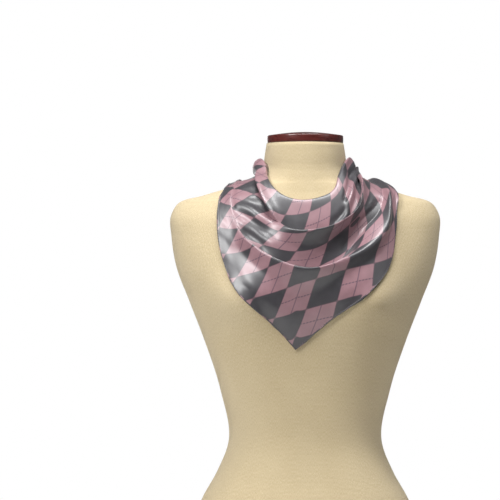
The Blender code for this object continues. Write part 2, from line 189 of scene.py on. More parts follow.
def grid_faces(columns, rows, first=0, closed=False):
    """Quads of a grid whose points run down each column in turn."""
    faces = []
    for i in range(columns if closed else columns - 1):
        here = first + i * rows
        there = first + ((i + 1) % columns) * rows
        for j in range(rows - 1):
            faces.append((here + j, here + j + 1, there + j + 1, there + j))
    return faces


def add_piece(name, points, faces, finish, chart=None):
    """A smooth mesh from points in mm; chart gives each point its place on the flat cloth."""
    mesh = bpy.data.meshes.new(name)
    mesh.from_pydata((np.asarray(points, float) * MM).tolist(), [], faces)
    mesh.materials.append(finish)
    if chart is not None:
        layer = mesh.uv_layers.new(name="cloth")
        corners = np.empty(len(mesh.loops), int)
        mesh.loops.foreach_get("vertex_index", corners)
        layer.data.foreach_set("uv", (np.asarray(chart, float)[corners] * MM).ravel())
    mesh.shade_smooth()
    piece = bpy.data.objects.new(name, mesh)
    bpy.context.scene.collection.objects.link(piece)
    return piece


class Finish:
    """A material's node tree, built up one named node at a time."""

    def __init__(self, name, **settings):
        self.material = bpy.data.materials.new(name)
        self.material.use_nodes = True
        self.tree = self.material.node_tree
        self.shader = self.tree.nodes["Principled BSDF"]
        for setting, value in settings.items():
            socket = setting.replace("_", " ").title().replace("Ior", "IOR")
            self.shader.inputs[socket].default_value = value

    def node(self, kind, inputs=None, **settings):
        """A new node; each input is another node's output or a plain value."""
        made = self.tree.nodes.new(kind)
        for key, value in settings.items():
            setattr(made, key, value)
        for key, value in (inputs or {}).items():
            if isinstance(value, bpy.types.NodeSocket):
                self.tree.links.new(value, made.inputs[key])
            else:
                made.inputs[key].default_value = value
        return made

    def math(self, operation, *values):
        return self.node("ShaderNodeMath", dict(enumerate(values)), operation=operation).outputs[0]

    def mix(self, share, low, high):
        """A colour between two others.  The mix node's colours are its sockets 6 and 7."""
        blend = self.node("ShaderNodeMix", {0: share}, data_type="RGBA")
        for socket, value in ((6, low), (7, high)):
            if isinstance(value, bpy.types.NodeSocket):
                self.tree.links.new(value, blend.inputs[socket])
            else:
                blend.inputs[socket].default_value = (*value, 1.0)
        return blend.outputs[2]

    def ramp(self, value, low, high, out_low=0.0, out_high=1.0):
        """Carry the range from low to high over to the one from out_low to out_high."""
        return self.node("ShaderNodeMapRange",
                         {0: value, 1: low, 2: high, 3: out_low, 4: out_high}).outputs[0]

    def wire(self, socket, value):
        self.tree.links.new(value, self.shader.inputs[socket])


def jersey():
    """Cotton jersey: fine upright wales crossed by uneven courses, with slubs and soft toning. The
    knit's hollows are painted darker, as shade.
    """
    finish = Finish("cream_jersey", roughness=0.88, sheen_weight=0.18, sheen_roughness=0.5)
    chart = finish.node("ShaderNodeUVMap", uv_map="cloth").outputs[0]
    wales = finish.node("ShaderNodeTexWave", {"Vector": chart, "Scale": 155.0, "Distortion": 1.6,
                        "Detail": 2.0, "Detail Scale": 30.0}, bands_direction="X").outputs[1]
    courses = finish.node("ShaderNodeTexWave", {"Vector": chart, "Scale": 190.0,
                          "Distortion": 2.4, "Detail": 2.0, "Detail Scale": 30.0},
                          bands_direction="Y").outputs[1]
    stretched = finish.node("ShaderNodeMapping", {"Vector": chart, "Scale": (1.0, 0.35, 1.0)})
    slubs = finish.node("ShaderNodeTexNoise", {"Vector": stretched.outputs[0], "Scale": 950.0,
                        "Detail": 3.0, "Roughness": 0.65}).outputs[0]
    tone = finish.node("ShaderNodeTexNoise", {"Vector": chart, "Scale": 14.0, "Detail": 2.0}
                       ).outputs[0]
    knit = finish.math("MULTIPLY", wales, courses)
    speckle = finish.math("ADD", finish.ramp(slubs, 0.35, 0.68), finish.math("MULTIPLY", tone, 0.5))
    share = finish.ramp(speckle, 0.1, 1.5, 0.0, 1.0)
    colour = finish.mix(share, JERSEY_SHADE, JERSEY_CREAM)
    # the hollows between the wales and courses, where the bump sinks, are painted darker as shade
    finish.wire("Base Color", finish.mix(finish.ramp(knit, 0.0, 0.4, 0.78, 1.0),
                                         JERSEY_HOLLOW_SHADE, colour))
    relief = finish.math("ADD", knit, slubs)
    bump = finish.node("ShaderNodeBump", {"Strength": 0.6, "Distance": 0.0009, "Height": relief})
    finish.wire("Normal", bump.outputs[0])
    finish.wire("Roughness", finish.ramp(slubs, 0.3, 0.7, 0.82, 0.95))
    return finish.material


def dress_form_body(form):
    """Rings round the neck axis from the neck down, closed by a fan at the top and the base."""
    table = np.array(FORM_SECTIONS, float)
    knots = stations_along(table[:, :2])
    sections = smooth_through(table, knots, np.linspace(0, knots[-1], FORM_RINGS))
    points = []
    chart = []
    for side in range(FORM_SIDES + 1):
        turn = 2 * math.pi * side / FORM_SIDES
        radius = form.radius(math.remainder(turn, 2 * math.pi), sections)
        points.append(np.stack([radius * math.sin(turn), -radius * math.cos(turn),
                                sections[:, 0]], axis=1))
        chart.append(np.stack([np.full(FORM_RINGS, turn * JERSEY_FACE), sections[:, 0]], axis=1))
    faces = grid_faces(FORM_SIDES + 1, FORM_RINGS)
    top = len(points) * FORM_RINGS
    base = top + 1
    points = np.concatenate([np.array(points).reshape(-1, 3),
                             [[0.0, 0.0, NECK_TOP], [0.0, 0.0, 0.0]]])
    chart = np.concatenate([np.array(chart).reshape(-1, 2), [[0.0, NECK_TOP], [0.0, 0.0]]])
    for side in range(FORM_SIDES):
        here = side * FORM_RINGS
        there = here + FORM_RINGS
        faces.append((here, there, top))
        faces.append((there + FORM_RINGS - 1, there - 1, base))
    piece = add_piece("form_body", points, faces, jersey(), chart)
    weld = piece.modifiers.new("seam", "WELD")
    weld.merge_threshold = SEAM_WELD
    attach(piece, "root")
    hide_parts("form_torso")
    return piece


dress_form = Form()
dress_form_body(dress_form)

# ==== The neck cap ==========================================================================
# A disc of hardwood turned on a lathe, its rim eased and its top slightly domed, stained dark
# red-brown and lacquered.  It drops onto the top of the neck and covers the jersey's edge.

CAP_RADIUS_X = 54.5
CAP_RADIUS_Y = 53.0
CAP_EDGE = 11.0
CAP_DOME = 5.0
CAP_EASE = 1.6
CAP_GAP = 0.35
CAP_SWELL = 0.12
CAP_SIDES = 144
CAP_EDGE_STEPS = 6
STAIN_DARK = (0.050, 0.0075, 0.0065)
STAIN_RED = (0.135, 0.020, 0.015)


def lacquered_wood():
    """Stained hardwood, its grain stretched along one way, under a glossy coat of lacquer."""
    finish = Finish("cap_lacquer", roughness=0.3, coat_weight=0.7, coat_roughness=0.12)
    place = finish.node("ShaderNodeTexCoord").outputs["Object"]
    stretched = finish.node("ShaderNodeMapping", {"Vector": place, "Scale": (1.0, 9.0, 30.0)})
    grain = finish.node("ShaderNodeTexNoise", {"Vector": stretched.outputs[0], "Scale": 22.0,
                        "Detail": 6.0, "Roughness": 0.6, "Distortion": 0.4}).outputs[0]
    pores = finish.node("ShaderNodeTexNoise", {"Vector": stretched.outputs[0], "Scale": 160.0,
                        "Detail": 2.0}).outputs[0]
    tone = finish.math("ADD", grain, finish.math("MULTIPLY", pores, 0.35))
    finish.wire("Base Color", finish.mix(finish.ramp(tone, 0.45, 0.95), STAIN_DARK, STAIN_RED))
    finish.wire("Roughness", finish.ramp(grain, 0.3, 0.7, 0.24, 0.38))
    bump = finish.node("ShaderNodeBump", {"Strength": 0.15, "Distance": 0.0004, "Height": tone})
    finish.wire("Normal", bump.outputs[0])
    return finish.material


def neck_cap():
    """The turned profile, from the middle of the underside round to the middle of the top.

    Each place on it is a share of the cap's radius, a height, and an offset from that radius.
    """
    base = NECK_TOP + CAP_GAP
    top = base + CAP_EDGE
    quarter = [math.pi / 2 * step / CAP_EDGE_STEPS for step in range(CAP_EDGE_STEPS + 1)]
    profile = [(0.0, base, 0.0), (0.5, base, 0.0), (0.9, base, 0.0)]
    for angle in quarter:
        profile.append((1.0, base + CAP_EASE * (1 - math.cos(angle)),
                        -CAP_EASE * (1 - math.sin(angle))))
    profile.append((1.0, base + CAP_EDGE / 2, CAP_SWELL))
    for angle in quarter:
        profile.append((1.0, top - CAP_EASE * (1 - math.sin(angle)),
                        -CAP_EASE * (1 - math.cos(angle))))
    for share in (0.93, 0.85, 0.7, 0.5, 0.3, 0.15, 0.0):
        profile.append((share, top + CAP_DOME * math.cos(share * math.pi / 2), -CAP_EASE * share))
    points = []
    for side in range(CAP_SIDES):
        turn = 2 * math.pi * side / CAP_SIDES
        for share, height, inset in profile:
            points.append(((CAP_RADIUS_X + inset) * share * math.sin(turn),
                           -(CAP_RADIUS_Y + inset) * share * math.cos(turn), height))
    faces = [tuple(reversed(f)) for f in grid_faces(CAP_SIDES, len(profile), closed=True)]
    piece = add_piece("turned_cap", points, faces, lacquered_wood())
    weld = piece.modifiers.new("poles", "WELD")
    weld.merge_threshold = SEAM_WELD
    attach(piece, "root")
    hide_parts("neck_cap")
    return piece


neck_cap()

# ==== The silk square =======================================================================
# One square of silk satin, 600 mm a side, folded corner to corner.  The fold lies round the
# neck, the point hangs on the chest, and the slack falls in two cowls between the shoulders.
# Ribs run from the neck edge down to the hems; each passes over the fold lines given here.

FoldPoint = namedtuple("FoldPoint", "turn drop lift")
NECK_EDGE = [
    FoldPoint(-172, 85, 11), FoldPoint(-158, 73, 8), FoldPoint(-140, 54, 7),
    FoldPoint(-115, 31, 6), FoldPoint(-90, 22, 5.5), FoldPoint(-66, 28, 6), FoldPoint(-51, 54, 7),
    FoldPoint(-39, 71, 8), FoldPoint(-22, 87, 8), FoldPoint(-5, 91, 8),
    FoldPoint(14, 87, 8), FoldPoint(26, 81, 8), FoldPoint(34, 68, 8),
    FoldPoint(39, 55, 8.5), FoldPoint(50, 38, 7.5), FoldPoint(66, 24, 6.5),
    FoldPoint(90, 21, 6), FoldPoint(115, 31, 6), FoldPoint(140, 54, 7),
    FoldPoint(158, 73, 8), FoldPoint(172, 85, 11),
]
# The two big folds.  drop and lift are those of the edge that shows, and overlap is how far
# the cloth doubles back behind it; below zero it is a trough that much above the edge.
# side is 1 for a cowl, whose pocket opens upwards, and -1 for a tuck, whose edge hangs down.
FoldRow = namedtuple("FoldRow", "turn drop lift overlap side")
FIRST_FOLD = [
    FoldRow(-172, 88, 12, -2, -1), FoldRow(-158, 86, 11, -3, -1), FoldRow(-130, 70, 12, 7, -1),
    FoldRow(-105, 54, 10.5, 11, -1), FoldRow(-85, 50, 9.5, 11, -1), FoldRow(-68, 59, 10, 12, -1),
    FoldRow(-54, 75, 11.5, 13, -1), FoldRow(-45, 90, 12, 13, -1), FoldRow(-34, 110, 11, 10, -1),
    FoldRow(-29, 119, 12, 5, -1), FoldRow(-25, 125, 12, 2.5, -0.5),
    FoldRow(-21, 131, 13, 2.5, 0.5), FoldRow(-16, 136, 15, 5, 1),
    FoldRow(-6, 140, 20, 11, 1), FoldRow(4, 141, 25, 13, 1), FoldRow(18, 138, 27, 13, 1),
    FoldRow(29, 130, 26, 13, 1), FoldRow(37, 123, 23, 12, 1), FoldRow(43, 113, 20, 11, 1),
    FoldRow(48, 99, 17, 9, 1), FoldRow(54, 83, 15, 8, 1), FoldRow(64, 63, 15, 7, 1),
    FoldRow(82, 41, 15, 8, 1), FoldRow(110, 43, 13, 7, 1), FoldRow(135, 61, 12, 4, 1),
    FoldRow(158, 84, 11, -3, 1), FoldRow(172, 88, 12, -2, 1),
]
SECOND_FOLD = [
    FoldRow(-172, 94, 11, -2, 1), FoldRow(-158, 98, 10, -4, 1), FoldRow(-130, 93, 9, -7, 1),
    FoldRow(-105, 84, 9, -7, 1), FoldRow(-85, 80, 7, -6, 1), FoldRow(-70, 96, 6, -6, 1),
    FoldRow(-60, 119, 5.5, -6, 1), FoldRow(-51, 143, 5.8, -4, 1), FoldRow(-42, 161, 11, 3, 1),
    FoldRow(-34, 171, 15, 8, 1), FoldRow(-22, 184, 21, 11, 1), FoldRow(-8, 191, 26, 15, 1),
    FoldRow(3, 193, 28, 15, 1), FoldRow(13, 191.5, 27, 9, 1), FoldRow(19, 190, 25, -2, 1),
    FoldRow(24, 188, 23, -11, 1), FoldRow(30, 184, 21, -20, 1), FoldRow(37, 178, 20, -26, 1),
    FoldRow(46, 167, 18, -30, 1), FoldRow(53, 154, 16, -25, 1), FoldRow(56.5, 141, 15, -18, 1),
    FoldRow(60, 129, 14, -12, 1), FoldRow(69, 110, 12, -10, 1), FoldRow(85, 86, 11, -9, 1),
    FoldRow(110, 83, 10, -9, 1), FoldRow(135, 90, 10, -8, 1), FoldRow(158, 98, 10, -5, 1),
    FoldRow(172, 94, 11, -2, 1),
]
# How far the parts of a fold stand off: the cloth hidden inside it, half the thickness of a
# fold pressed together, half that of a cowl's crest, and half the width of an opened one.
INNER_LIFT = 5.0
FOLD_ROUND = 1.7
CREST_ROUND = 4.2
LEAST_ROUND = 1.2
# A fold is open below the first of these overlaps and pressed together from the second.  A
# cowl's crest has its full round at the third, and overhangs fully from the fourth.
OPEN_OVERLAP = -1.0
PRESSED_OVERLAP = 5.0
ROUND_OVERLAP = 11.0
OVERHANG_OVERLAP = 7.0
# The edge at the neck is turned in by this much, downwards and towards the form.
TURNED_DOWN = 4.0
TURNED_IN = 4.5
TURNED_LEAST = 1.2
# Beside the neck the collar rolls up and out, over this range of turns.
COLLAR_ROLL = 6.5
COLLAR_RISE = 0.38
COLLAR_TURN = 88.0
COLLAR_REACH = 34.0
# The row midway down the middle panel: its share of the way, how much of the first fold's lift
# it keeps, and how much less of each below a cowl.
MIDDLE_SHARE = 0.45
MIDDLE_KEPT = 0.7
COWL_SHARE = 0.12
COWL_KEPT = 0.45
# The rows between the second fold and the hem.
BibRow = namedtuple("BibRow", "share kept")
BIB_ROWS = [BibRow(0.3, 0.4), BibRow(0.65, 0.15)]
RIB_STIFFNESS = 0.6
LEFT_HEM = [
    FoldPoint(-172, 99, 9), FoldPoint(-158, 107, 7), FoldPoint(-148, 115, 6),
    FoldPoint(-130, 121, 5), FoldPoint(-110, 112, 5), FoldPoint(-90, 93, 6), FoldPoint(-75, 104, 5),
    FoldPoint(-66, 124, 4), FoldPoint(-60, 148, 4), FoldPoint(-56, 174, 3.5),
    FoldPoint(-50, 202, 3.5), FoldPoint(-40.5, 230, 3.5), FoldPoint(-26, 263, 3.5),
    FoldPoint(-8.5, 301, 3.5),
]
RIGHT_HEM = [
    FoldPoint(-8.5, 301, 3.5), FoldPoint(5, 277, 3.5), FoldPoint(20, 254, 3.5),
    FoldPoint(37, 229, 3.5), FoldPoint(50, 202, 3.5), FoldPoint(57, 166, 4),
    FoldPoint(61, 145, 5), FoldPoint(70, 126, 7), FoldPoint(88, 97, 9),
    FoldPoint(110, 114, 7), FoldPoint(130, 121, 5), FoldPoint(148, 115, 6),
    FoldPoint(158, 107, 7), FoldPoint(172, 99, 9),
]

# How many steps each stretch of a rib takes, from the turned-in edge down to the hem.  The
# flat square is worked out on coarser ribs: two steps on a short stretch, five on a long one.
RIB_STRETCHES = [
    ("turned_in", 4), ("neck", 12), ("above_first", 12),
    ("first_edge", 4), ("first_hidden", 8), ("first_crest", 4), ("below_first", 15),
    ("above_second", 15), ("second_edge", 4), ("second_hidden", 9), ("second_crest", 4),
    ("below_second", 16), ("chest", 17), ("to_hem", 17),
]
COARSE_STRETCHES = [(name, 2 if steps < 10 else 5) for name, steps in RIB_STRETCHES]
CLOTH_RIBS = 301
COARSE_RIBS = 121
FOLD_LINE_STEPS = 450
EASE_PASSES = 16
EASE_HEM_ROWS = 12

# Smaller folds in each panel: ridges above zero and valleys below.  line gives places along a
# fold as turn, drop and height, and above and below are its reach to either side of the line.
Crease = namedtuple("Crease", "panel above below line")
PANELS = {"collar": ("neck", "first_edge"), "middle": ("below_first", "second_edge"),
          "bib": ("below_second", None), "whole": ("below_first", None)}
CREASE_POINTS = 81
CREASE_END_POINTS = 14.0      # points over which a crease fades at either end of its line
CREASE_EDGE_ROWS = 5.0        # rows over which it fades at its panel's own edges
CREASE_TURNOVER = 2.0         # mm over which its reach above turns into that below
CREASE_EASE = 4
LEAST_LIFT = 2.4              # no valley is pressed nearer to the form than this
CREASES = [
    # the fan of small folds that runs out to the left shoulder
    Crease("middle", 4.5, 4.5, [(-50, 78, 0.8), (-56, 87, 1.4), (-60, 96, 1.4), (-62, 108, 1.0)]),
    Crease("middle", 4.5, 4.5, [(-43, 92, 0.8), (-49, 101, 1.8), (-55, 107, 1.9), (-59, 115, 1.4),
                                (-61, 127, 0.6)]),
    Crease("middle", 4.5, 5.2, [(-37, 103, -0.6), (-44, 109, -1.6), (-52, 113, -1.7),
                                (-57.5, 120, -1.0), (-60, 132, -0.4)]),
    # the roll that carries on from the first fold to the left shoulder
    Crease("middle", 7.8, 9.1, [(-18, 137, 0.8), (-24, 133, 2.4), (-33, 128, 4.4),
                                (-40, 124, 5.6), (-46, 120, 5.6), (-51, 119, 4.4),
                                (-55.7, 122, 2.6), (-58, 131, 1.0)]),
    Crease("middle", 6.5, 7.8, [(-24, 149, -0.9), (-33.6, 142, -1.9), (-40, 137, -2.3),
                                (-45.3, 132, -2.0), (-50.3, 132, -1.6), (-55, 138, -0.8)]),
    # the middle roll on the left
    Crease("middle", 7.8, 7.8, [(-20, 165, 0.8), (-28.2, 157, 2.6), (-34.7, 150, 3.4),
                                (-39.9, 144, 3.5), (-45.5, 142, 2.9), (-50.5, 147, 1.9),
                                (-54, 157, 0.8)]),
    Crease("middle", 6.5, 6.5, [(-25.6, 168, -0.7), (-31.9, 161, -1.4), (-37.7, 155, -1.7),
                                (-43.7, 154, -1.4), (-49, 161, -0.7)]),
    # the lowest roll on the left, above the second fold
    Crease("whole", 6.5, 7.8, [(-30, 168, 1.0), (-36, 166, 2.1), (-42, 164, 2.2), (-47, 168, 1.4),
                               (-51, 178, 0.6)]),
    # small rolls of the collar where it turns up the right side of the neck
    Crease("collar", 2.6, 2.6, [(33, 103, -2.0), (35, 97, -3.5), (42, 81, -4.5), (54, 60, -4.5),
                                (66, 46, -4.0), (84, 34, -2.5)]),
    Crease("collar", 3, 3, [(33, 112, 1.5), (37, 104, 3.0), (45, 87, 4.0), (58, 68, 4.0),
                            (72, 52, 3.0)]),
    Crease("collar", 3, 3, [(33, 124, -2.0), (37, 116, -4.5), (44, 101, -5.5), (52, 84, -5.5),
                            (64, 66, -4.0), (80, 52, -2.0)]),
    Crease("collar", 3, 3.5, [(22, 135, 1.0), (26, 129, 2.5), (31.4, 122, 3.5), (35, 113, 3.0),
                              (34.4, 105, 1.5)]),
    Crease("collar", 3, 3, [(19, 130, -1.0), (25, 122, -2.2), (30, 115, -2.4), (33, 108, -1.5)]),
    # the valley that runs down from the right shoulder between the two folds
    Crease("whole", 8, 7, [(62, 112, -2.0), (56, 120, -4.5), (50, 127, -6.5), (43, 133, -7.5),
                           (36, 141, -7.0), (31.8, 154, -6.0), (25.6, 173, -4.5),
                           (20.4, 186, -2.0)]),
    Crease("middle", 5, 5, [(58, 112, 1.5), (53.7, 116, 2.5), (46, 124, 3.0), (39, 132, 3.0),
                            (31, 146, 2.0), (25, 160, 1.0)]),
    # pleats of the band that runs back from the right shoulder to the knot
    Crease("collar", 3.5, 3.5, [(72, 40, 1.0), (90, 35, 2.6), (115, 42, 3.0), (140, 61, 2.6),
                                (160, 80, 1.0)]),
    Crease("middle", 3, 3, [(80, 58, -1.0), (98, 56, -2.8), (122, 62, -3.2), (146, 78, -2.4),
                            (164, 90, -1.0)]),
    Crease("middle", 3.5, 3, [(78, 74, 1.0), (96, 68, 2.8), (120, 72, 3.0), (145, 85, 2.4),
                              (162, 93, 1.0)]),
    Crease("bib", 3, 3, [(82, 92, 0.8), (100, 97, 1.8), (124, 103, 2.4), (146, 105, 1.8),
                         (162, 100, 0.6)]),
    # the deep valley of the band that runs back from the left shoulder
    Crease("middle", 4, 4, [(-80, 68, -1.5), (-98, 70, -3.6), (-120, 78, -4.2), (-142, 88, -3.4),
                            (-162, 92, -1.2)]),
    Crease("collar", 3, 3, [(-80, 38, 0.8), (-100, 40, 1.8), (-125, 54, 2.2), (-150, 74, 1.2)]),
    Crease("bib", 6, 5, [(-100, 100, 0.6), (-122, 106, 1.6), (-145, 106, 1.8), (-160, 101, 0.8)]),
    # puckers along the left hem
    Crease("bib", 3, 3, [(-58.5, 150, 1.2), (-55, 152, 0.8), (-51, 155, 0.2)]),
    Crease("bib", 3, 3, [(-57.5, 172, -1.2), (-54, 173, -0.8), (-50, 174, -0.2)]),
    Crease("bib", 3, 3, [(-55, 191, 1.0), (-51.5, 190, 0.7), (-47, 189, 0.2)]),
    Crease("bib", 3, 3, [(-52, 206, -1.2), (-48.5, 204, -0.8), (-44, 202, -0.2)]),
    Crease("bib", 3, 3, [(-46, 221, 1.1), (-43, 217, 0.7), (-39, 213, 0.2)]),
    Crease("bib", 3, 3, [(-40, 236, -1.1), (-37, 231, -0.7), (-33, 226, -0.2)]),
    Crease("bib", 3, 3, [(-30, 259, 1.0), (-27.5, 253, 0.7), (-25, 247, 0.2)]),
]

# Spare cloth that the draping takes up, by station from the left end of the scarf to its right:
# extra length hidden in each fold, how many times its plain length the middle panel takes, and
# how far the cloth between the folds slips sideways.
Slack = namedtuple("Slack", "station first_extra middle_ease second_extra slip")
SLACK = [
    Slack(-1.0, 0, 1.0, 0, 0), Slack(-0.45, 0, 1.0, 5, 0), Slack(-0.25, -5, 1.15, 5, -4),
    Slack(-0.12, -14, 1.5, 0, -10), Slack(0.0, -20, 1.6, 6, -12), Slack(0.12, -30, 1.45, 26, -14),
    Slack(0.2, -31, 1.25, 34, -12), Slack(0.32, -14, 1.1, 16, -8), Slack(0.5, 0, 1.0, 0, 0),
    Slack(1.0, 0, 1.0, 0, 0),
]
# The cloth settles flat over many small moves, each keeping part of the speed of the last.
FLAT_MOVES = 1200
FLAT_CARRY = 0.93
FLAT_PULL = 0.9
DOWN_PULL = 1.0
ACROSS_PULL = 0.6
BIAS_PULL = 0.35
LEAST_STEP = 0.4
MOST_SKEW = 0.9
SLIP_ROWS = 4.0


class FoldLine:
    """One fold line of the cloth, read by station: -1 at the left end, 1 at the right.

    Station 0 is at the row of the table that middle counts to, where the line runs on
    smoothly, or at the corner in which a left and a right table meet.
    """

    def __init__(self, form, left, right=None, middle=None):
        if right is None:
            fine, knots = self.smoothed(form, left, 2 * FOLD_LINE_STEPS)
            cut = int(round((len(fine) - 1) * knots[middle] / knots[-1]))
            self.sides = [fine[:cut + 1], fine[cut:]]
        else:
            self.sides = [self.smoothed(form, side, FOLD_LINE_STEPS)[0]
                          for side in (left, right)]
        self.runs = []
        for side in self.sides:
            run = stations_along(form.place(*side[:, :3].T))
            self.runs.append(run / run[-1])

    @staticmethod
    def smoothed(form, table, steps):
        """A table's rows, read finely along its line, and how far along each row lies."""
        table = np.array(table, float)
        knots = stations_along(form.place(*table[:, :3].T))
        return smooth_through(table, knots, np.linspace(0, knots[-1], steps)), knots

    def read(self, station):
        """The line's row at each station."""
        left, right = self.sides
        left_run, right_run = self.runs
        rows = np.empty((len(station), left.shape[1]))
        for column in range(left.shape[1]):
            rows[:, column] = np.where(
                station < 0,
                np.interp(1 + station, left_run, left[:, column]),
                np.interp(station, right_run, right[:, column]))
        return rows


class Scarf:
    """The folded square, as ribs that run from its neck edge down to its hems."""

    def __init__(self, form):
        self.form = form
        self.neck = FoldLine(form, NECK_EDGE, middle=9)
        self.first = FoldLine(form, FIRST_FOLD, middle=13)
        self.second = FoldLine(form, SECOND_FOLD, middle=11)
        self.hem = FoldLine(form, LEFT_HEM, RIGHT_HEM)

    @staticmethod
    def two_turns(fold):
        """The lower and upper turns of a fold, from the edge that shows."""
        turn, drop, lift, overlap, side = fold.T
        gap = lift - INNER_LIFT
        lower = np.stack([turn, drop + overlap * (1 + side) / 2, lift - gap * (1 + side) / 2], 1)
        upper = np.stack([turn, drop - overlap * (1 - side) / 2, lift - gap * (1 - side) / 2], 1)
        return lower, upper

    def rib_controls(self, station):
        """The points that every rib passes through, as turn, drop and lift."""
        neck = self.neck.read(station)
        first = self.first.read(station)
        second = self.second.read(station)
        hem = self.hem.read(station)
        first_lower, first_upper = self.two_turns(first)
        second_lower, second_upper = self.two_turns(second)
        turned_in = neck + (0, TURNED_DOWN, 0)
        turned_in[:, 2] = np.maximum(neck[:, 2] - TURNED_IN, TURNED_LEAST)
        rows = [turned_in, neck]

        def midway(upper, lower, share, lift):
            """A row between two others, at its own lift."""
            share = np.broadcast_to(share, len(upper))[:, None]
            row = upper * (1 - share) + lower * share
            row[:, 2] = lift
            rows.append(row)

        def fold(row, lower, upper):
            """Both turns of a fold, each as two points: across its gap, or along its slope."""
            overlap, side = row[:, 3], row[:, 4]
            pressed = soft_step((overlap - OPEN_OVERLAP) / (PRESSED_OVERLAP - OPEN_OVERLAP))
            along = np.clip(-overlap / 4, LEAST_ROUND, FOLD_ROUND)
            crest = (CREST_ROUND - FOLD_ROUND) * np.clip(overlap / ROUND_OVERLAP, 0, 1)
            crest *= side > 0
            for turn, extra in ((lower, 0.0), (upper, crest)):
                for layer in (-1, 1):
                    pair = turn.copy()
                    pair[:, 1] += layer * (1 - pressed) * along + extra / 2
                    pair[:, 2] += layer * side * pressed * (FOLD_ROUND + extra) - extra
                    rows.append(pair)

        beside_neck = np.exp(-((np.abs(neck[:, 0]) - COLLAR_TURN) / COLLAR_REACH)**2)
        midway(neck, first_lower, 0.5 - COLLAR_RISE * beside_neck,
               0.5 * (neck[:, 2] + first_lower[:, 2]) - 0.5 + COLLAR_ROLL * beside_neck)
        fold(first, first_lower, first_upper)
        # below a cowl the cloth turns straight back in, so its crest overhangs
        overhang = (first[:, 3] - OPEN_OVERLAP) / (OVERHANG_OVERLAP - OPEN_OVERLAP)
        overhang = np.clip(overhang, 0, 1) * np.clip(first[:, 4], 0, 1)
        kept = MIDDLE_KEPT - COWL_KEPT * overhang
        midway(first_upper, second_lower, MIDDLE_SHARE - COWL_SHARE * overhang,
               kept * first_upper[:, 2] + (1 - kept) * second_lower[:, 2] + 0.5)
        fold(second, second_lower, second_upper)
        for share, kept in BIB_ROWS:
            midway(second_upper, hem, share, kept * second_upper[:, 2] + (1 - kept) * hem[:, 2])
        rows.append(hem)
        return rows

    def grid(self, stations, stretches):
        """Ribs of points, each with its place in the world, its turn and its drop."""
        rows = self.rib_controls(np.asarray(stations, float))
        controls = np.stack([np.concatenate([self.form.place(*row.T), row[:, :2]], axis=1)
                             for row in rows], axis=1)
        counts = [steps for _, steps in stretches]
        ribs = []
        for rib in controls:
            knots = stations_along(rib[:, :3], RIB_STIFFNESS)
            at = np.concatenate([
                np.linspace(knots[i], knots[i + 1], counts[i], endpoint=False)
                for i in range(len(counts))] + [knots[-1:]])
            ribs.append(smooth_through(rib, knots, at))
        return np.array(ribs)


def stretch_starts(stretches):
    """The row at which each stretch of a rib starts, and the last row of all."""
    starts = {}
    row = 0
    for name, steps in stretches:
        starts[name] = row
        row += steps
    starts[None] = row
    return starts


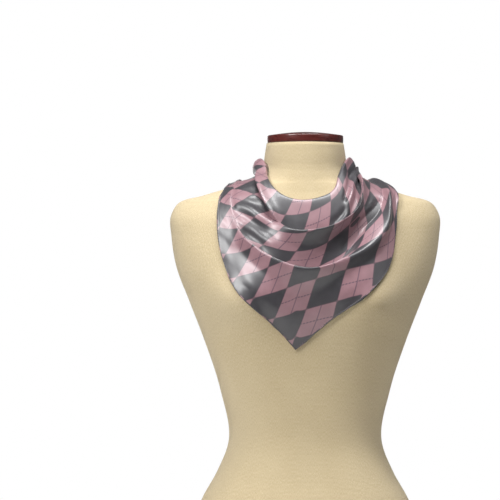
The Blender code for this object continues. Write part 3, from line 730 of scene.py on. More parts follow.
def lay_flat(ribs, stations, stretches):
    """Find where each point lies on the flat square, from its distances to its neighbours.

    The hems are two straight sides that meet at the point.  Every other point settles at its
    own length from the next, as cloth does when it is smoothed out on a table.  The result is
    the distance across, along the diagonal fold, and the distance up from the point.
    """
    starts = stretch_starts(stretches)
    columns, rows = ribs.shape[:2]
    slack = np.array(SLACK, float)
    first_extra, ease, second_extra, slip = (np.interp(stations, slack[:, 0], slack[:, k])
                                             for k in (1, 2, 3, 4))
    down = np.linalg.norm(np.diff(ribs, axis=1), axis=-1)
    across = np.linalg.norm(np.diff(ribs, axis=0), axis=-1)
    cosine = np.sum((ribs[1:, :-1] - ribs[:-1, :-1]) * (ribs[:-1, 1:] - ribs[:-1, :-1]), axis=-1)
    cosine /= np.maximum(across[:, :-1] * down[:-1], 1e-6)
    for name, end, extra in (("first_hidden", "first_crest", first_extra),
                             ("second_hidden", "second_crest", second_extra)):
        a, b = starts[name], starts[end]
        down[:, a:b] = np.maximum(down[:, a:b] + (extra / (b - a))[:, None], LEAST_STEP)
    a, b = starts["below_first"], starts["second_edge"]
    down[:, a:b] *= ease[:, None]

    hem_run = stations_along(ribs[:, -1])
    middle = int(np.argmin(np.abs(stations)))
    hem_run -= hem_run[middle]
    hem = np.stack([hem_run, np.abs(hem_run)], axis=1) / math.sqrt(2)
    up = np.zeros((columns, rows))
    up[:, :-1] = np.cumsum(down[:, ::-1], axis=1)[:, ::-1]
    neck_run = stations_along(ribs[:, starts["neck"]])
    neck_run -= neck_run[middle]
    share = up / up[:, :1]
    flat = np.stack([hem[:, :1] * (1 - share) + neck_run[:, None] * share,
                     hem[:, 1:] + up], axis=-1)

    number = np.arange(columns * rows).reshape(columns, rows)
    mean_down = 0.5 * (down[1:] + down[:-1])
    mean_across = 0.5 * (across[:, 1:] + across[:, :-1])
    square_sum = mean_down**2 + mean_across**2
    skew = 2 * mean_down * mean_across * np.clip(cosine, -MOST_SKEW, MOST_SKEW)
    threads = [
        (number[:, :-1], number[:, 1:], down, DOWN_PULL),
        (number[:-1], number[1:], across, ACROSS_PULL),
        (number[:-1, 1:], number[1:, :-1], np.sqrt(square_sum - skew), BIAS_PULL),
        (number[:-1, :-1], number[1:, 1:], np.sqrt(square_sum + skew), BIAS_PULL),
    ]
    one = np.concatenate([t[0].ravel() for t in threads])
    two = np.concatenate([t[1].ravel() for t in threads])
    length = np.concatenate([t[2].ravel() for t in threads])
    weight = np.concatenate([np.full(t[2].size, t[3]) for t in threads])
    count = columns * rows
    total = np.bincount(one, weight, count) + np.bincount(two, weight, count)
    flat = flat.reshape(-1, 2)
    held = number[:, -1]
    speed = np.zeros_like(flat)
    for _ in range(FLAT_MOVES):
        gap = flat[two] - flat[one]
        now = np.linalg.norm(gap, axis=1) + 1e-9
        pull = (weight * (1 - length / now))[:, None] * gap
        force = np.stack([np.bincount(one, pull[:, k], count) - np.bincount(two, pull[:, k], count)
                          for k in (0, 1)], axis=1)
        speed = FLAT_CARRY * speed + FLAT_PULL * force / total[:, None]
        flat = flat + speed
        flat[held] = hem
    flat = flat.reshape(columns, rows, 2)
    row = np.arange(rows)
    top, bottom = starts["first_hidden"], starts["second_crest"]
    flat[..., 0] += slip[:, None] * soft_step(np.minimum(row - top, bottom - row) / SLIP_ROWS)
    return flat


def resample(values, from_stations, to_stations, from_stretches, to_stretches):
    """Carry values on the coarse ribs over to the fine ones, smoothly both ways."""
    def places(stretches):
        """Where each row lies, counted in whole stretches."""
        return np.concatenate([i + np.arange(steps) / steps
                               for i, (_, steps) in enumerate(stretches)] + [[len(stretches)]])

    columns, rows, depth = values.shape
    along = smooth_through(values.reshape(columns, -1), from_stations,
                           to_stations).reshape(-1, rows, depth)
    flipped = along.transpose(1, 0, 2).reshape(rows, -1)
    fine = smooth_through(flipped, places(from_stretches), places(to_stretches))
    return fine.reshape(-1, len(to_stations), depth).transpose(1, 0, 2)


def nearest_on(path, foot):
    """For each foot, its distance to a path and how far along the path's points it lies."""
    nearest = np.full(foot.shape[:-1], 1e9)
    along = np.zeros(foot.shape[:-1])
    for k in range(len(path) - 1):
        step = path[k + 1] - path[k]
        share = np.clip((foot - path[k]) @ step / (step @ step), 0, 1)
        distance = np.linalg.norm(foot - path[k] - share[..., None] * step, axis=-1)
        closer = distance < nearest
        nearest = np.where(closer, distance, nearest)
        along = np.where(closer, k + share, along)
    return nearest, along


def press_creases(form, ribs, stretches):
    """Raise or sink the cloth along each crease, fading at the panel's own edges."""
    starts = stretch_starts(stretches)
    turn, drop = ribs[..., 3], ribs[..., 4]
    foot = form.surface(turn, drop)
    normal = form.outward(turn, drop)
    height = np.zeros(turn.shape)
    row = np.arange(ribs.shape[1])
    for crease in CREASES:
        line = np.array(crease.line, float)
        run = stations_along(form.surface(line[:, 0], line[:, 1]))
        fine = smooth_through(line, run, np.linspace(0, run[-1], CREASE_POINTS))
        nearest, along = nearest_on(form.surface(fine[:, 0], fine[:, 1]), foot)
        count = np.arange(len(fine))
        ends = soft_step(np.minimum(along, count[-1] - along) / CREASE_END_POINTS)
        rise = np.interp(along, count, fine[:, 2]) * ends
        side = np.clip((drop - np.interp(along, count, fine[:, 1])) / CREASE_TURNOVER, -1, 1)
        reach = 0.5 * (crease.below + crease.above) + 0.5 * side * (crease.below - crease.above)
        first, last = (starts[name] for name in PANELS[crease.panel])
        inside = row - first if last == starts[None] else np.minimum(row - first, last - row)
        height += rise * np.exp(-(nearest / reach)**2) * soft_step(inside / CREASE_EDGE_ROWS)
    for _ in range(CREASE_EASE):
        height[1:-1] = 0.5 * height[1:-1] + 0.25 * (height[:-2] + height[2:])
    lift = np.sum((ribs[..., :3] - foot) * normal, axis=-1)
    height = np.maximum(height, np.minimum(LEAST_LIFT - lift, 0))
    ribs[..., :3] += normal * height[..., None]


def ease_along(ribs):
    """Even out the cloth along its fold lines, leaving its four edges where they are."""
    weight = np.ones(ribs.shape[1])
    weight[-EASE_HEM_ROWS:] = np.linspace(1, 0, EASE_HEM_ROWS)
    weight[0] = 0
    for _ in range(EASE_PASSES):
        middle = 0.25 * (ribs[:-2] + ribs[2:]) + 0.5 * ribs[1:-1]
        ribs[1:-1] += (middle - ribs[1:-1]) * weight[None, :, None]


# The argyle: rhombs of two colours, their long way along one hem, each edged with a fine dark
# line.  Two more lines, one of them dashed, cross in the middle of every light one.
ARGYLE_LONG = 80.0
ARGYLE_SHORT = 41.0
ARGYLE_START = (49.0, 12.0)
BORDER_HALF = 0.035
LINE_HALF = 0.055
DASHED_HALF = 0.060
DASHES = 19.0
PINK = (0.290, 0.160, 0.181)
CHARCOAL = (0.041, 0.038, 0.044)
OUTLINE = (0.085, 0.045, 0.062)
LINE_PLUM = (0.070, 0.040, 0.066)


def silk_satin():
    """Silk satin: argyle, fine warp sheen, and a soft gleam along the folds."""
    finish = Finish("silk_satin", roughness=0.45, sheen_weight=0.10, sheen_roughness=0.40,
                    anisotropic=0.25, coat_weight=0.54, coat_roughness=0.30, ior=1.50)
    finish.shader.inputs["Specular IOR Level"].default_value = 0.60
    chart = finish.node("ShaderNodeUVMap", uv_map="cloth").outputs[0]
    parts = finish.node("ShaderNodeSeparateXYZ", {0: chart})
    across, up = parts.outputs[0], parts.outputs[1]
    root = math.sqrt(2) * MM
    along = finish.math("DIVIDE", finish.math("ADD", up, across), root)
    athwart = finish.math("DIVIDE", finish.math("SUBTRACT", up, across), root)
    along = finish.math("DIVIDE", finish.math("SUBTRACT", along, ARGYLE_START[0]), ARGYLE_LONG)
    athwart = finish.math("DIVIDE", finish.math("SUBTRACT", athwart, ARGYLE_START[1]),
                          ARGYLE_SHORT)
    rising = finish.math("MULTIPLY", finish.math("ADD", along, athwart), math.pi)
    falling = finish.math("MULTIPLY", finish.math("SUBTRACT", along, athwart), math.pi)
    cell = finish.math("MULTIPLY", finish.math("COSINE", rising), finish.math("COSINE", falling))
    light = finish.ramp(cell, -0.012, 0.012)

    def line(value, half_width):
        """1 where a wave crosses zero, fading out half_width from there."""
        return finish.ramp(finish.math("ABSOLUTE", value), half_width * 0.6, half_width * 1.4,
                           1.0, 0.0)

    border = finish.math("MAXIMUM", line(finish.math("COSINE", rising), BORDER_HALF),
                         line(finish.math("COSINE", falling), BORDER_HALF))
    dashes = finish.ramp(finish.math("SINE", finish.math("MULTIPLY", falling, DASHES)),
                         -0.5, 0.2, 0.35, 1.0)
    upright = finish.math("MULTIPLY", line(finish.math("SINE", falling), LINE_HALF), 0.85)
    level = finish.math("MULTIPLY", line(finish.math("SINE", rising), DASHED_HALF), dashes)
    cross = finish.math("MULTIPLY", finish.math("MAXIMUM", upright, level), light)
    tone = finish.node("ShaderNodeTexNoise", {"Vector": chart, "Scale": 60.0, "Detail": 3.0}
                       ).outputs[0]
    warp = finish.node("ShaderNodeTexWave", {"Vector": chart, "Scale": 700.0, "Distortion": 0.6,
                       "Detail": 1.0}, bands_direction="DIAGONAL").outputs[1]
    fibre_chart = finish.node("ShaderNodeMapping", {"Vector": chart, "Scale": (1.0, 0.12, 1.0),
                              "Rotation": (0.0, 0.0, math.radians(45))})
    fibres = finish.node("ShaderNodeTexNoise", {"Vector": fibre_chart.outputs[0],
                         "Scale": 2600.0, "Detail": 2.0}).outputs[0]
    uneven = finish.ramp(tone, 0.3, 0.7)
    pink = finish.mix(uneven, tuple(0.90 * c for c in PINK), tuple(1.06 * c for c in PINK))
    grey = finish.mix(uneven, tuple(0.85 * c for c in CHARCOAL),
                      tuple(1.15 * c for c in CHARCOAL))
    colour = finish.mix(light, grey, pink)
    colour = finish.mix(finish.math("MULTIPLY", border, 0.75), colour, OUTLINE)
    colour = finish.mix(finish.math("MULTIPLY", cross, 0.85), colour, LINE_PLUM)
    finish.wire("Base Color", colour)
    weave = finish.math("ADD", finish.math("MULTIPLY", warp, 0.5), fibres)
    finish.wire("Roughness", finish.ramp(fibres, 0.3, 0.7, 0.40, 0.50))
    bump = finish.node("ShaderNodeBump", {"Strength": 0.10, "Distance": 0.0002, "Height": weave})
    finish.wire("Normal", bump.outputs[0])
    return finish.material


SILK_WALL = 0.35
satin = silk_satin()


def cloth_wall(name, grid, chart):
    """A grid of cloth with its thickness, closed all round."""
    columns, rows = grid.shape[:2]
    normal = np.cross(np.gradient(grid, axis=1), np.gradient(grid, axis=0))
    normal /= np.maximum(np.linalg.norm(normal, axis=2), 1e-9)[:, :, None]
    outer = (grid + normal * SILK_WALL / 2).reshape(-1, 3)
    inner = (grid - normal * SILK_WALL / 2).reshape(-1, 3)
    count = columns * rows
    faces = grid_faces(columns, rows)
    faces += [tuple(count + v for v in reversed(face)) for face in faces]
    rim = ([i * rows for i in range(columns)]
           + [(columns - 1) * rows + j for j in range(1, rows)]
           + [i * rows + rows - 1 for i in range(columns - 2, -1, -1)]
           + [j for j in range(rows - 2, 0, -1)])
    for here, there in zip(rim, rim[1:] + rim[:1]):
        faces.append((here, there, there + count, here + count))
    flat = np.asarray(chart, float).reshape(-1, 2)
    return add_piece(name, np.concatenate([outer, inner]), faces, satin,
                     np.concatenate([flat, flat]))


scarf = Scarf(dress_form)
coarse_stations = np.linspace(-1, 1, COARSE_RIBS)
fine_stations = np.linspace(-1, 1, CLOTH_RIBS)
coarse_ribs = scarf.grid(coarse_stations, COARSE_STRETCHES)[..., :3]
flat_coarse = lay_flat(coarse_ribs, coarse_stations, COARSE_STRETCHES)
flat_fine = resample(flat_coarse, coarse_stations, fine_stations,
                     COARSE_STRETCHES, RIB_STRETCHES)
cloth_ribs = scarf.grid(fine_stations, RIB_STRETCHES)
ease_along(cloth_ribs)
press_creases(dress_form, cloth_ribs, RIB_STRETCHES)
cloth = cloth_wall("silk_square", cloth_ribs[..., :3], flat_fine)
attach(cloth, "root")
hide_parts("front_drape", "left_wrap", "right_wrap")

# ==== The under layer =======================================================================
# The other half of the folded square lies behind the one that shows.  It has slipped a little,
# so a narrow edge of it looks out past the hems, its argyle out of step with the front.

UNDER_WIDTH = 15.0
UNDER_PEEK = 3.4
UNDER_TUCK = 1.5              # how far it has drawn back behind the hem at either end
UNDER_LIFT = 1.6
UNDER_STEPS = 9
UNDER_REACH = 0.80            # the stations at which it ends
UNDER_FADE = 0.2
UNDER_FROM_ROW = -10
UNDER_SHIFT = (34.0, 21.0)


def under_layer(form, ribs, flat, stations):
    """A strip from behind the hem to just past it, close to the form."""
    kept = np.abs(stations) <= UNDER_REACH
    hem = ribs[kept, -1, 3:5]
    inner = ribs[kept, UNDER_FROM_ROW, 3:5]
    width = np.linalg.norm(form.surface(*inner.T) - form.surface(*hem.T), axis=1)
    run = stations_along(form.surface(*hem.T))
    wander = 0.62 + 0.24 * np.sin(run / 13.0) + 0.14 * np.sin(run / 5.1 + 1.0)
    fade = np.clip((UNDER_REACH - np.abs(stations[kept])) / UNDER_FADE, 0, 1)
    peek = UNDER_PEEK * wander * fade - UNDER_TUCK * (1 - fade)
    share = np.linspace(1, 0, UNDER_STEPS)
    reach = share[None, :] * (UNDER_WIDTH + peek[:, None]) - peek[:, None]
    place = hem[:, None] + (inner - hem)[:, None] * (reach / width[:, None])[..., None]
    grid = form.surface(place[..., 0], place[..., 1])
    grid = grid + form.outward(place[..., 0], place[..., 1]) * UNDER_LIFT
    inward = flat[kept, UNDER_FROM_ROW] - flat[kept, -1]
    chart = flat[kept, -1][:, None] + inward[:, None] * (reach / width[:, None])[..., None]
    piece = cloth_wall("under_layer", grid, chart + UNDER_SHIFT)
    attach(piece, "root")


under_layer(dress_form, cloth_ribs, flat_fine, fine_stations)

# ==== The hems ==============================================================================
# Both free sides of the square are rolled over by hand and caught down with small stitches of
# plum silk, which pull the edge in and leave it faintly scalloped.

HEM_ROUND = 0.80
HEM_BITTEN = 0.82             # shares of that at a stitch, and how much more between stitches
HEM_PLUMP = 0.26
HEM_SINK = 0.3
HEM_POINTS = 1100
HEM_SIDES = 8
HEM_SHIFT = (9.0, -6.0)
STITCH_PITCH = 4.2
STITCH_LENGTH = 1.7
STITCH_INWARD = 1.3
STITCH_LIFT = 0.35
THREAD_ROUND = 0.22
THREAD_PLUM = (0.115, 0.062, 0.090)
PLEAT_WANDER = 1.8
PLEAT_WAVE = 8.0


def rounded_band(name, line, outward, width, depth, flat_line, flat_side, sides,
                 pleats=0, pleat_depth=0.0):
    """A closed band of cloth along a line: width to either side, depth out of the surface.

    Pleats run along it, and wander round it a little on their way.
    """
    along = np.gradient(line, axis=0)
    along /= np.linalg.norm(along, axis=1)[:, None]
    out = outward - along * np.sum(outward * along, axis=1)[:, None]
    out /= np.linalg.norm(out, axis=1)[:, None]
    side = np.cross(along, out)
    angle = np.linspace(0, 2 * math.pi, sides, endpoint=False)[:, None]
    wander = PLEAT_WANDER * np.sin(stations_along(line)[None, :] / PLEAT_WAVE)
    swell = 1 + pleat_depth * np.cos(pleats * angle + wander)
    across = width[None, :] * np.cos(angle) * swell
    points = (line[None] + side[None] * across[..., None]
              + out[None] * (depth[None, :] * np.sin(angle) * swell)[..., None])
    chart = flat_line[None] + np.asarray(flat_side) * across[..., None]
    count = len(line)
    faces = grid_faces(sides, count, closed=True)
    ends = sides * count
    for i in range(sides):
        here = i * count
        there = ((i + 1) % sides) * count
        faces.append((ends, here, there))
        faces.append((ends + 1, there + count - 1, here + count - 1))
    points = np.concatenate([points.reshape(-1, 3), line[[0, -1]]])
    chart = np.concatenate([chart.reshape(-1, 2), flat_line[[0, -1]]])
    return add_piece(name, points, faces, satin, chart)


def hem_line(ribs, flat):
    """The hem's own edge, evenly spaced.

    A row holds its place, its turn and drop, its place on the flat square, and the direction
    from it into the cloth.
    """
    inward = ribs[:, -4, :3] - ribs[:, -1, :3]
    inward /= np.linalg.norm(inward, axis=1)[:, None]
    line = np.concatenate([ribs[:, -1], flat[:, -1], inward], axis=1)
    run = stations_along(line[:, :3])
    at = np.linspace(run[0], run[-1], HEM_POINTS)
    return np.stack([np.interp(at, run, column) for column in line.T], axis=1)


def rolled_hem(form, line):
    """The roll of the edge, thinner where each stitch bites into it."""
    outward = form.outward(line[:, 3], line[:, 4])
    run = stations_along(line[:, :3])
    between = np.abs(np.sin(math.pi * run / STITCH_PITCH))
    size = HEM_ROUND * (HEM_BITTEN + HEM_PLUMP * between)
    piece = rounded_band("rolled_hem", line[:, :3] - outward * HEM_SINK, outward, size, size,
                         line[:, 5:7] + HEM_SHIFT, (1.0, 1.0), HEM_SIDES)
    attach(piece, "root")
    return piece


def plum_thread():
    """Twisted silk thread, the grooves of its twist painted darker as shade."""
    finish = Finish("plum_thread", roughness=0.5, sheen_weight=0.3, sheen_roughness=0.4)
    place = finish.node("ShaderNodeTexCoord").outputs["Object"]
    twist = finish.node("ShaderNodeTexWave", {"Vector": place, "Scale": 1400.0},
                        bands_direction="DIAGONAL").outputs[1]
    # the twist's grooves, where the bump sinks, are painted darker as shade
    finish.wire("Base Color", finish.mix(twist, tuple(0.7 * c for c in THREAD_PLUM),
                                         THREAD_PLUM))
    bump = finish.node("ShaderNodeBump", {"Strength": 0.3, "Distance": 0.0001, "Height": twist})
    finish.wire("Normal", bump.outputs[0])
    return finish.material


def stitch_tree(thread):
    """Stitches along an edge: evenly spaced beads of thread, each turned to follow it."""
    tree = bpy.data.node_groups.new("hem_stitches", "GeometryNodeTree")
    tree.interface.new_socket("Edge", in_out="INPUT", socket_type="NodeSocketGeometry")
    for label in ("Pitch", "Length", "Thread Radius"):
        tree.interface.new_socket(label, in_out="INPUT", socket_type="NodeSocketFloat")
    tree.interface.new_socket("Stitches", in_out="OUTPUT", socket_type="NodeSocketGeometry")
    add, link = tree.nodes.new, tree.links.new
    given = add("NodeGroupInput")
    curve = add("GeometryNodeMeshToCurve")
    spaced = add("GeometryNodeResampleCurve")
    spaced.mode = "LENGTH"
    tangent = add("GeometryNodeInputTangent")
    turn = add("FunctionNodeAlignRotationToVector")
    turn.axis = "X"
    bead = add("GeometryNodeMeshUVSphere")
    bead.inputs["Segments"].default_value = 6
    bead.inputs["Rings"].default_value = 5
    bead.inputs["Radius"].default_value = 0.5
    size = add("ShaderNodeCombineXYZ")
    place = add("GeometryNodeInstanceOnPoints")
    real = add("GeometryNodeRealizeInstances")
    finish = add("GeometryNodeSetMaterial")
    finish.inputs["Material"].default_value = thread
    result = add("NodeGroupOutput")
    link(given.outputs["Edge"], curve.inputs["Mesh"])
    link(curve.outputs["Curve"], spaced.inputs["Curve"])
    link(given.outputs["Pitch"], spaced.inputs["Length"])
    link(spaced.outputs["Curve"], place.inputs["Points"])
    link(bead.outputs["Mesh"], place.inputs["Instance"])
    link(tangent.outputs["Tangent"], turn.inputs["Vector"])
    link(turn.outputs["Rotation"], place.inputs["Rotation"])
    doubled = add("ShaderNodeMath")
    doubled.operation = "MULTIPLY"
    doubled.inputs[1].default_value = 2.0
    link(given.outputs["Thread Radius"], doubled.inputs[0])
    link(given.outputs["Length"], size.inputs["X"])
    link(doubled.outputs[0], size.inputs["Y"])
    link(doubled.outputs[0], size.inputs["Z"])
    link(size.outputs[0], place.inputs["Scale"])
    link(place.outputs["Instances"], real.inputs["Geometry"])
    link(real.outputs["Geometry"], finish.inputs["Geometry"])
    link(finish.outputs["Geometry"], result.inputs["Stitches"])
    return tree


def hem_stitches(form, line, inward):
    """Stitches just inside the roll.  inward points from the hem into the cloth."""
    outward = form.outward(line[:, 3], line[:, 4])
    edge = line[:, :3] + inward * STITCH_INWARD + outward * STITCH_LIFT
    mesh = bpy.data.meshes.new("stitch_edge")
    mesh.from_pydata((edge * MM).tolist(), [(i, i + 1) for i in range(len(edge) - 1)], [])
    base = bpy.data.objects.new("stitch_edge", mesh)
    bpy.context.scene.collection.objects.link(base)
    tree = stitch_tree(plum_thread())
    sewing = base.modifiers.new("stitches", "NODES")
    sewing.node_group = tree
    sizes = {"Pitch": STITCH_PITCH * MM, "Length": STITCH_LENGTH * MM,
             "Thread Radius": THREAD_ROUND * MM}
    for socket in tree.interface.items_tree:
        if socket.name in sizes:
            sewing[socket.identifier] = sizes[socket.name]
    ready = base.evaluated_get(bpy.context.evaluated_depsgraph_get())
    sewn = bpy.data.meshes.new_from_object(ready)
    sewn.shade_smooth()
    base.modifiers.remove(sewing)
    piece = bpy.data.objects.new("hem_stitches", sewn)
    bpy.context.scene.collection.objects.link(piece)
    bpy.data.objects.remove(base)
    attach(piece, "root")
    return piece


hem = hem_line(cloth_ribs, flat_fine)
hem_roll = rolled_hem(dress_form, hem)
hem_sewing = hem_stitches(dress_form, hem, hem[:, 7:])

# ==== The knot ==============================================================================
# A small square knot at the nape.  The band from each shoulder crosses the other and turns
# down into its own end, and one turn of the silk is wound round the crossing.

KNOT_DROP = 91.0
KNOT_LIFT = 13.0
KNOT_CORE = (0.0, -7.0, 0.0)  # the turns of the knot bulge away from here
KNOT_SIDES = 64
KNOT_STEPS = 72
KNOT_PLEATS = 11
KNOT_PLEAT_DEPTH = 0.075
# The directions on the flat square of the gathered corners' length and width.
CORNER_ALONG = (0.890, 0.456)
CORNER_ACROSS = (-0.456, 0.890)
# Each turn of the knot: places to the right, outward and up from its middle, with the half
# width and half thickness of the gathered silk there.
KnotPoint = namedtuple("KnotPoint", "right out up half_width half_depth")
KNOT_TURNS = {
    "knot_over": [
        KnotPoint(34, 1, 3, 8, 4.0), KnotPoint(22, 5, 6, 9, 5.0), KnotPoint(9, 8, 6, 9, 5.5),
        KnotPoint(-6, 8, 1, 9, 5.5), KnotPoint(-18, 6, -6, 9, 5.0), KnotPoint(-27, 2, -13, 8, 4.0),
        KnotPoint(-33, 0, -21, 7, 3.0),
    ],
    "knot_under": [
        KnotPoint(-34, 1, 3, 8, 4.0), KnotPoint(-21, 3, 6, 9, 5.0), KnotPoint(-7, 1, 5, 9, 5.0),
        KnotPoint(8, 3, -3, 9, 5.5), KnotPoint(19, 5, -8, 10, 5.5), KnotPoint(28, 3, -14, 9, 4.5),
        KnotPoint(34, 0, -22, 8, 3.0),
    ],
    "knot_wrap": [
        KnotPoint(5, -5, 11, 8, 3.5), KnotPoint(4, 4, 14, 9, 4.0), KnotPoint(2, 13, 9, 10, 4.5),
        KnotPoint(0, 15.5, 0, 10.5, 4.5), KnotPoint(-3, 12, -9, 9.5, 4.2),
        KnotPoint(-5, 3, -13, 8, 4.0), KnotPoint(-6, -5, -11, 7, 3.5),
    ],
}
# Where each turn starts on the flat square.
KNOT_CHART = {"knot_over": (35.0, 8.0), "knot_under": (78.0, 30.0), "knot_wrap": (60.0, -8.0)}


def knot_turn(form, name, table):
    """One turn of gathered silk, behind the nape."""
    table = np.array(table, float)
    knots = stations_along(table[:, :3])
    rows = smooth_through(table, knots, np.linspace(0, knots[-1], KNOT_STEPS))
    middle = form.place(180, KNOT_DROP, KNOT_LIFT)[0]
    line = middle + rows[:, :3]
    outward = rows[:, :3] - KNOT_CORE
    run = stations_along(line)
    flat_line = np.array(KNOT_CHART[name]) + run[:, None] * CORNER_ALONG
    piece = rounded_band(name, line, outward, rows[:, 3], rows[:, 4], flat_line, CORNER_ACROSS,
                         KNOT_SIDES, KNOT_PLEATS, KNOT_PLEAT_DEPTH)
    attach(piece, "root")
    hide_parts("knot")


for knot_name, knot_table in KNOT_TURNS.items():
    knot_turn(dress_form, knot_name, knot_table)

# ==== The two ends ==========================================================================
# The corners of the folded square, below the knot.  Each is a leaf of doubled silk, folded
# back on itself along one side, pleated where it leaves the knot and flat at its tip.

# The middle line of each end, with its half width and how far its middle stands out.
EndPoint = namedtuple("EndPoint", "turn drop lift half_width crown")
# Folds along an end: place is from -1 at one edge to 1 at the other, first and last are shares
# of its length, and drift is how far the fold wanders across on its way down.
EndFold = namedtuple("EndFold", "place reach height first last drift")
# Bulges of an end's outline, on the side given: 1 is towards +X and -1 towards -X.
EndBulge = namedtuple("EndBulge", "side share reach width")
END_STEPS = 84
END_FRONT = 45                # points across the layer that shows
END_BACK = 30                 # and across the one behind it
END_BACK_EDGE = -0.80
END_TURN = 1.03
END_GAP = 2.2
END_LEAST = 3.2               # clear of the form by this much in front, and by this behind
END_BACK_LEAST = 1.4
END_BACK_SHIFT = (19.0, 31.0)
CROWN_POWER = 2.4
SWELL_POWER = 0.7
NAPE_RADIUS = 90.0
NARROW_END = [
    EndPoint(-166, 98, 13, 6, 3), EndPoint(-160, 107, 12, 8, 4), EndPoint(-152, 119, 12, 12, 5),
    EndPoint(-147, 133, 10, 16, 6), EndPoint(-144, 148, 8.5, 16.5, 6),
    EndPoint(-142, 163, 7.5, 13, 5), EndPoint(-140, 174, 6.5, 8, 3.2),
    EndPoint(-139, 182, 5.5, 2.0, 1.5),
]
NARROW_FOLDS = [
    EndFold(-0.30, 0.16, -4.0, 0.00, 0.80, 0.10), EndFold(0.30, 0.22, 2.6, 0.05, 0.90, -0.15),
    EndFold(0.78, 0.12, -2.0, 0.10, 0.75, 0.00), EndFold(-0.72, 0.18, 2.2, 0.25, 0.95, 0.10),
    EndFold(0.05, 0.09, -1.6, 0.00, 0.45, 0.00),
]
NARROW_BULGES = [EndBulge(1, 0.42, 0.22, 0.10), EndBulge(-1, 0.68, 0.20, 0.12)]
WIDE_END = [
    EndPoint(166, 98, 13, 6, 3), EndPoint(160, 107, 12, 8, 4), EndPoint(151, 120, 11.5, 13, 5),
    EndPoint(145.5, 135, 10, 19, 6), EndPoint(143.5, 151, 9, 21, 6.5),
    EndPoint(145, 166, 8, 16, 5.5), EndPoint(147, 178, 7, 9.5, 3.5),
    EndPoint(148, 187, 6, 2.2, 1.5),
]
WIDE_FOLDS = [
    EndFold(-0.12, 0.13, -7.0, 0.10, 1.00, 0.22), EndFold(-0.50, 0.22, 3.0, 0.20, 0.90, 0.00),
    EndFold(0.35, 0.30, 2.4, 0.20, 0.95, 0.05), EndFold(0.80, 0.10, -1.8, 0.05, 0.70, 0.00),
    EndFold(-0.80, 0.12, -2.0, 0.25, 0.75, 0.00), EndFold(0.15, 0.09, 1.6, 0.00, 0.40, 0.00),
]
WIDE_BULGES = [EndBulge(-1, 0.46, 0.15, 0.22), EndBulge(-1, 0.85, 0.12, -0.45),
               EndBulge(1, 0.66, 0.20, 0.16)]


def scarf_end(form, name, node, table, folds, bulges, flat_start):
    """Rows across the end, from the open edge over the fold and back along the layer behind."""
    table = np.array(table, float)
    knots = stations_along(form.place(*table[:, :3].T))
    rows = smooth_through(table, knots, np.linspace(0, knots[-1], END_STEPS))
    share = np.linspace(0, 1, END_STEPS)
    middle = form.place(*rows[:, :3].T)
    outward = form.outward(rows[:, 0], rows[:, 1])
    along = np.gradient(middle, axis=0)
    along /= np.linalg.norm(along, axis=1)[:, None]
    side = np.cross(along, outward)
    side /= np.linalg.norm(side, axis=1)[:, None]
    place = np.concatenate([np.linspace(-1, 1, END_FRONT), [END_TURN],
                            np.linspace(1, END_BACK_EDGE, END_BACK)])
    behind = np.concatenate([np.zeros(END_FRONT), [0.5], np.ones(END_BACK)])
    width = np.broadcast_to(rows[:, 3:4], (END_STEPS, len(place))).copy()
    for bulge in bulges:
        beside = np.clip(place * bulge.side, 0, 1)
        grown = bulge.width * np.exp(-((share - bulge.share) / bulge.reach)**2)
        width *= 1 + grown[:, None] * beside[None, :]**SWELL_POWER
    across = place[None, :] * width
    lift = rows[:, 4:5] * (1 - np.abs(np.clip(place, -1, 1))[None, :]**CROWN_POWER)
    for fold in folds:
        part = np.clip((share - fold.first) / (fold.last - fold.first), 0, 1)
        swell = np.sin(math.pi * part)**SWELL_POWER
        off = (place[None, :] - fold.place - fold.drift * (share[:, None] - 0.5)) / fold.reach
        lift = lift + fold.height * swell[:, None] * np.exp(-off**2)
    lift = np.maximum(lift - across**2 / (2 * NAPE_RADIUS), END_LEAST - rows[:, 2:3])
    lift = np.maximum(lift - END_GAP * behind[None, :], END_BACK_LEAST - rows[:, 2:3])
    grid = (middle[:, None] + side[:, None] * across[..., None]
            + outward[:, None] * lift[..., None])
    run = stations_along(middle)
    chart = (np.array(flat_start) + run[:, None, None] * np.array(CORNER_ALONG)
             + across[..., None] * np.array(CORNER_ACROSS)
             + behind[None, :, None] * np.array(END_BACK_SHIFT))
    piece = cloth_wall(name, grid.transpose(1, 0, 2), chart.transpose(1, 0, 2))
    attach(piece, "root")
    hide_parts(node)
    return piece


narrow_end = scarf_end(dress_form, "narrow_end", "left_tail", NARROW_END, NARROW_FOLDS,
                       NARROW_BULGES, (22.0, 14.0))
wide_end = scarf_end(dress_form, "wide_end", "right_tail", WIDE_END, WIDE_FOLDS,
                     WIDE_BULGES, (48.0, 36.0))

# ==== The studio ============================================================================
# A plain pale floor, a large soft light high on the left, a narrow one overhead, weak fill from
# the right and from behind, and the camera level with the chest, a little to the left of it.

FLOOR_RADIUS = 1050.0
FLOOR_DROP = 0.2
FLOOR_SIDES = 96
FLOOR_PALE = (0.84, 0.84, 0.83)
FLOOR_DULL = (0.80, 0.80, 0.79)
ROOM_LIGHT = 0.11


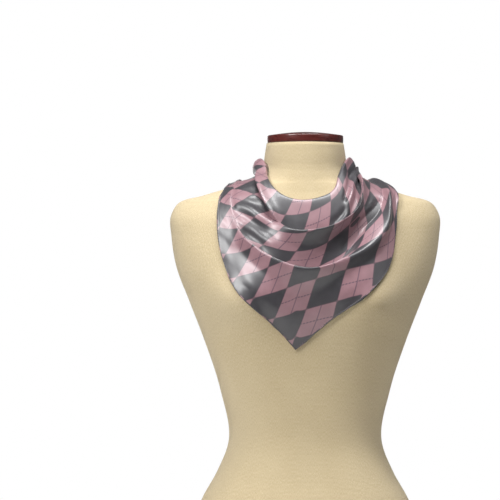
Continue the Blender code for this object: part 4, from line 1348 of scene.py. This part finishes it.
def studio_floor():
    """A painted disc just below the form's base."""
    finish = Finish("floor_paint", roughness=0.6)
    place = finish.node("ShaderNodeTexCoord").outputs["Object"]
    cloud = finish.node("ShaderNodeTexNoise", {"Vector": place, "Scale": 3.0}).outputs[0]
    finish.wire("Base Color", finish.mix(cloud, FLOOR_DULL, FLOOR_PALE))
    points = [(0.0, 0.0, -FLOOR_DROP)]
    for side in range(FLOOR_SIDES):
        turn = 2 * math.pi * side / FLOOR_SIDES
        points.append((FLOOR_RADIUS * math.cos(turn), FLOOR_RADIUS * math.sin(turn), -FLOOR_DROP))
    faces = [(0, 1 + side, 1 + (side + 1) % FLOOR_SIDES) for side in range(FLOOR_SIDES)]
    floor = add_piece("floor", points, faces, finish.material)


def area_light(name, place, aim, size, power):
    """A rectangular light at a place, turned towards its aim."""
    lamp = bpy.data.lights.new(name, "AREA")
    lamp.shape = "RECTANGLE"
    lamp.size, lamp.size_y = size
    lamp.energy = power
    stand = bpy.data.objects.new(name, lamp)
    stand.location = place
    direction = Vector(aim) - Vector(place)
    stand.rotation_euler = direction.to_track_quat("-Z", "Y").to_euler()
    bpy.context.scene.collection.objects.link(stand)


def studio_world():
    """White to the camera, and a weak even light on everything else."""
    world = bpy.data.worlds.new("studio")
    world.use_nodes = True
    tree = world.node_tree
    back = tree.nodes["Background"]
    back.inputs[0].default_value = (1.0, 1.0, 1.0, 1.0)
    path = tree.nodes.new("ShaderNodeLightPath")
    seen = tree.nodes.new("ShaderNodeMapRange")
    tree.links.new(path.outputs["Is Camera Ray"], seen.inputs[0])
    seen.inputs["To Min"].default_value = ROOM_LIGHT
    seen.inputs["To Max"].default_value = 1.0
    tree.links.new(seen.outputs[0], back.inputs[1])
    bpy.context.scene.world = world


CAMERA_PLACE = (-0.0787, -2.6, 0.536)
VIEW_WIDTH = 0.715
SENSOR = 36.0

bpy.context.scene.view_settings.view_transform = "Standard"
studio_floor()
studio_world()
area_light("key", (-1.45, -1.5, 2.0), (0, -0.05, 0.52), (0.9, 0.9), 57)
area_light("overhead", (0.25, -0.65, 2.5), (0.05, -0.1, 0.5), (1.6, 0.2), 52)
area_light("fill", (1.9, -1.0, 1.5), (0, 0, 0.5), (1.0, 1.0), 4)
area_light("back", (-0.5, 2.4, 0.8), (0, 0, 0.5), (0.9, 0.9), 5)

camera = bpy.data.cameras.new("camera")
camera.sensor_width = SENSOR
camera.lens = SENSOR * abs(CAMERA_PLACE[1]) / VIEW_WIDTH
camera_object = bpy.data.objects.new("camera", camera)
camera_object.location = CAMERA_PLACE
camera_object.rotation_euler = (math.radians(90), 0, 0)
bpy.context.scene.collection.objects.link(camera_object)
bpy.context.scene.camera = camera_object
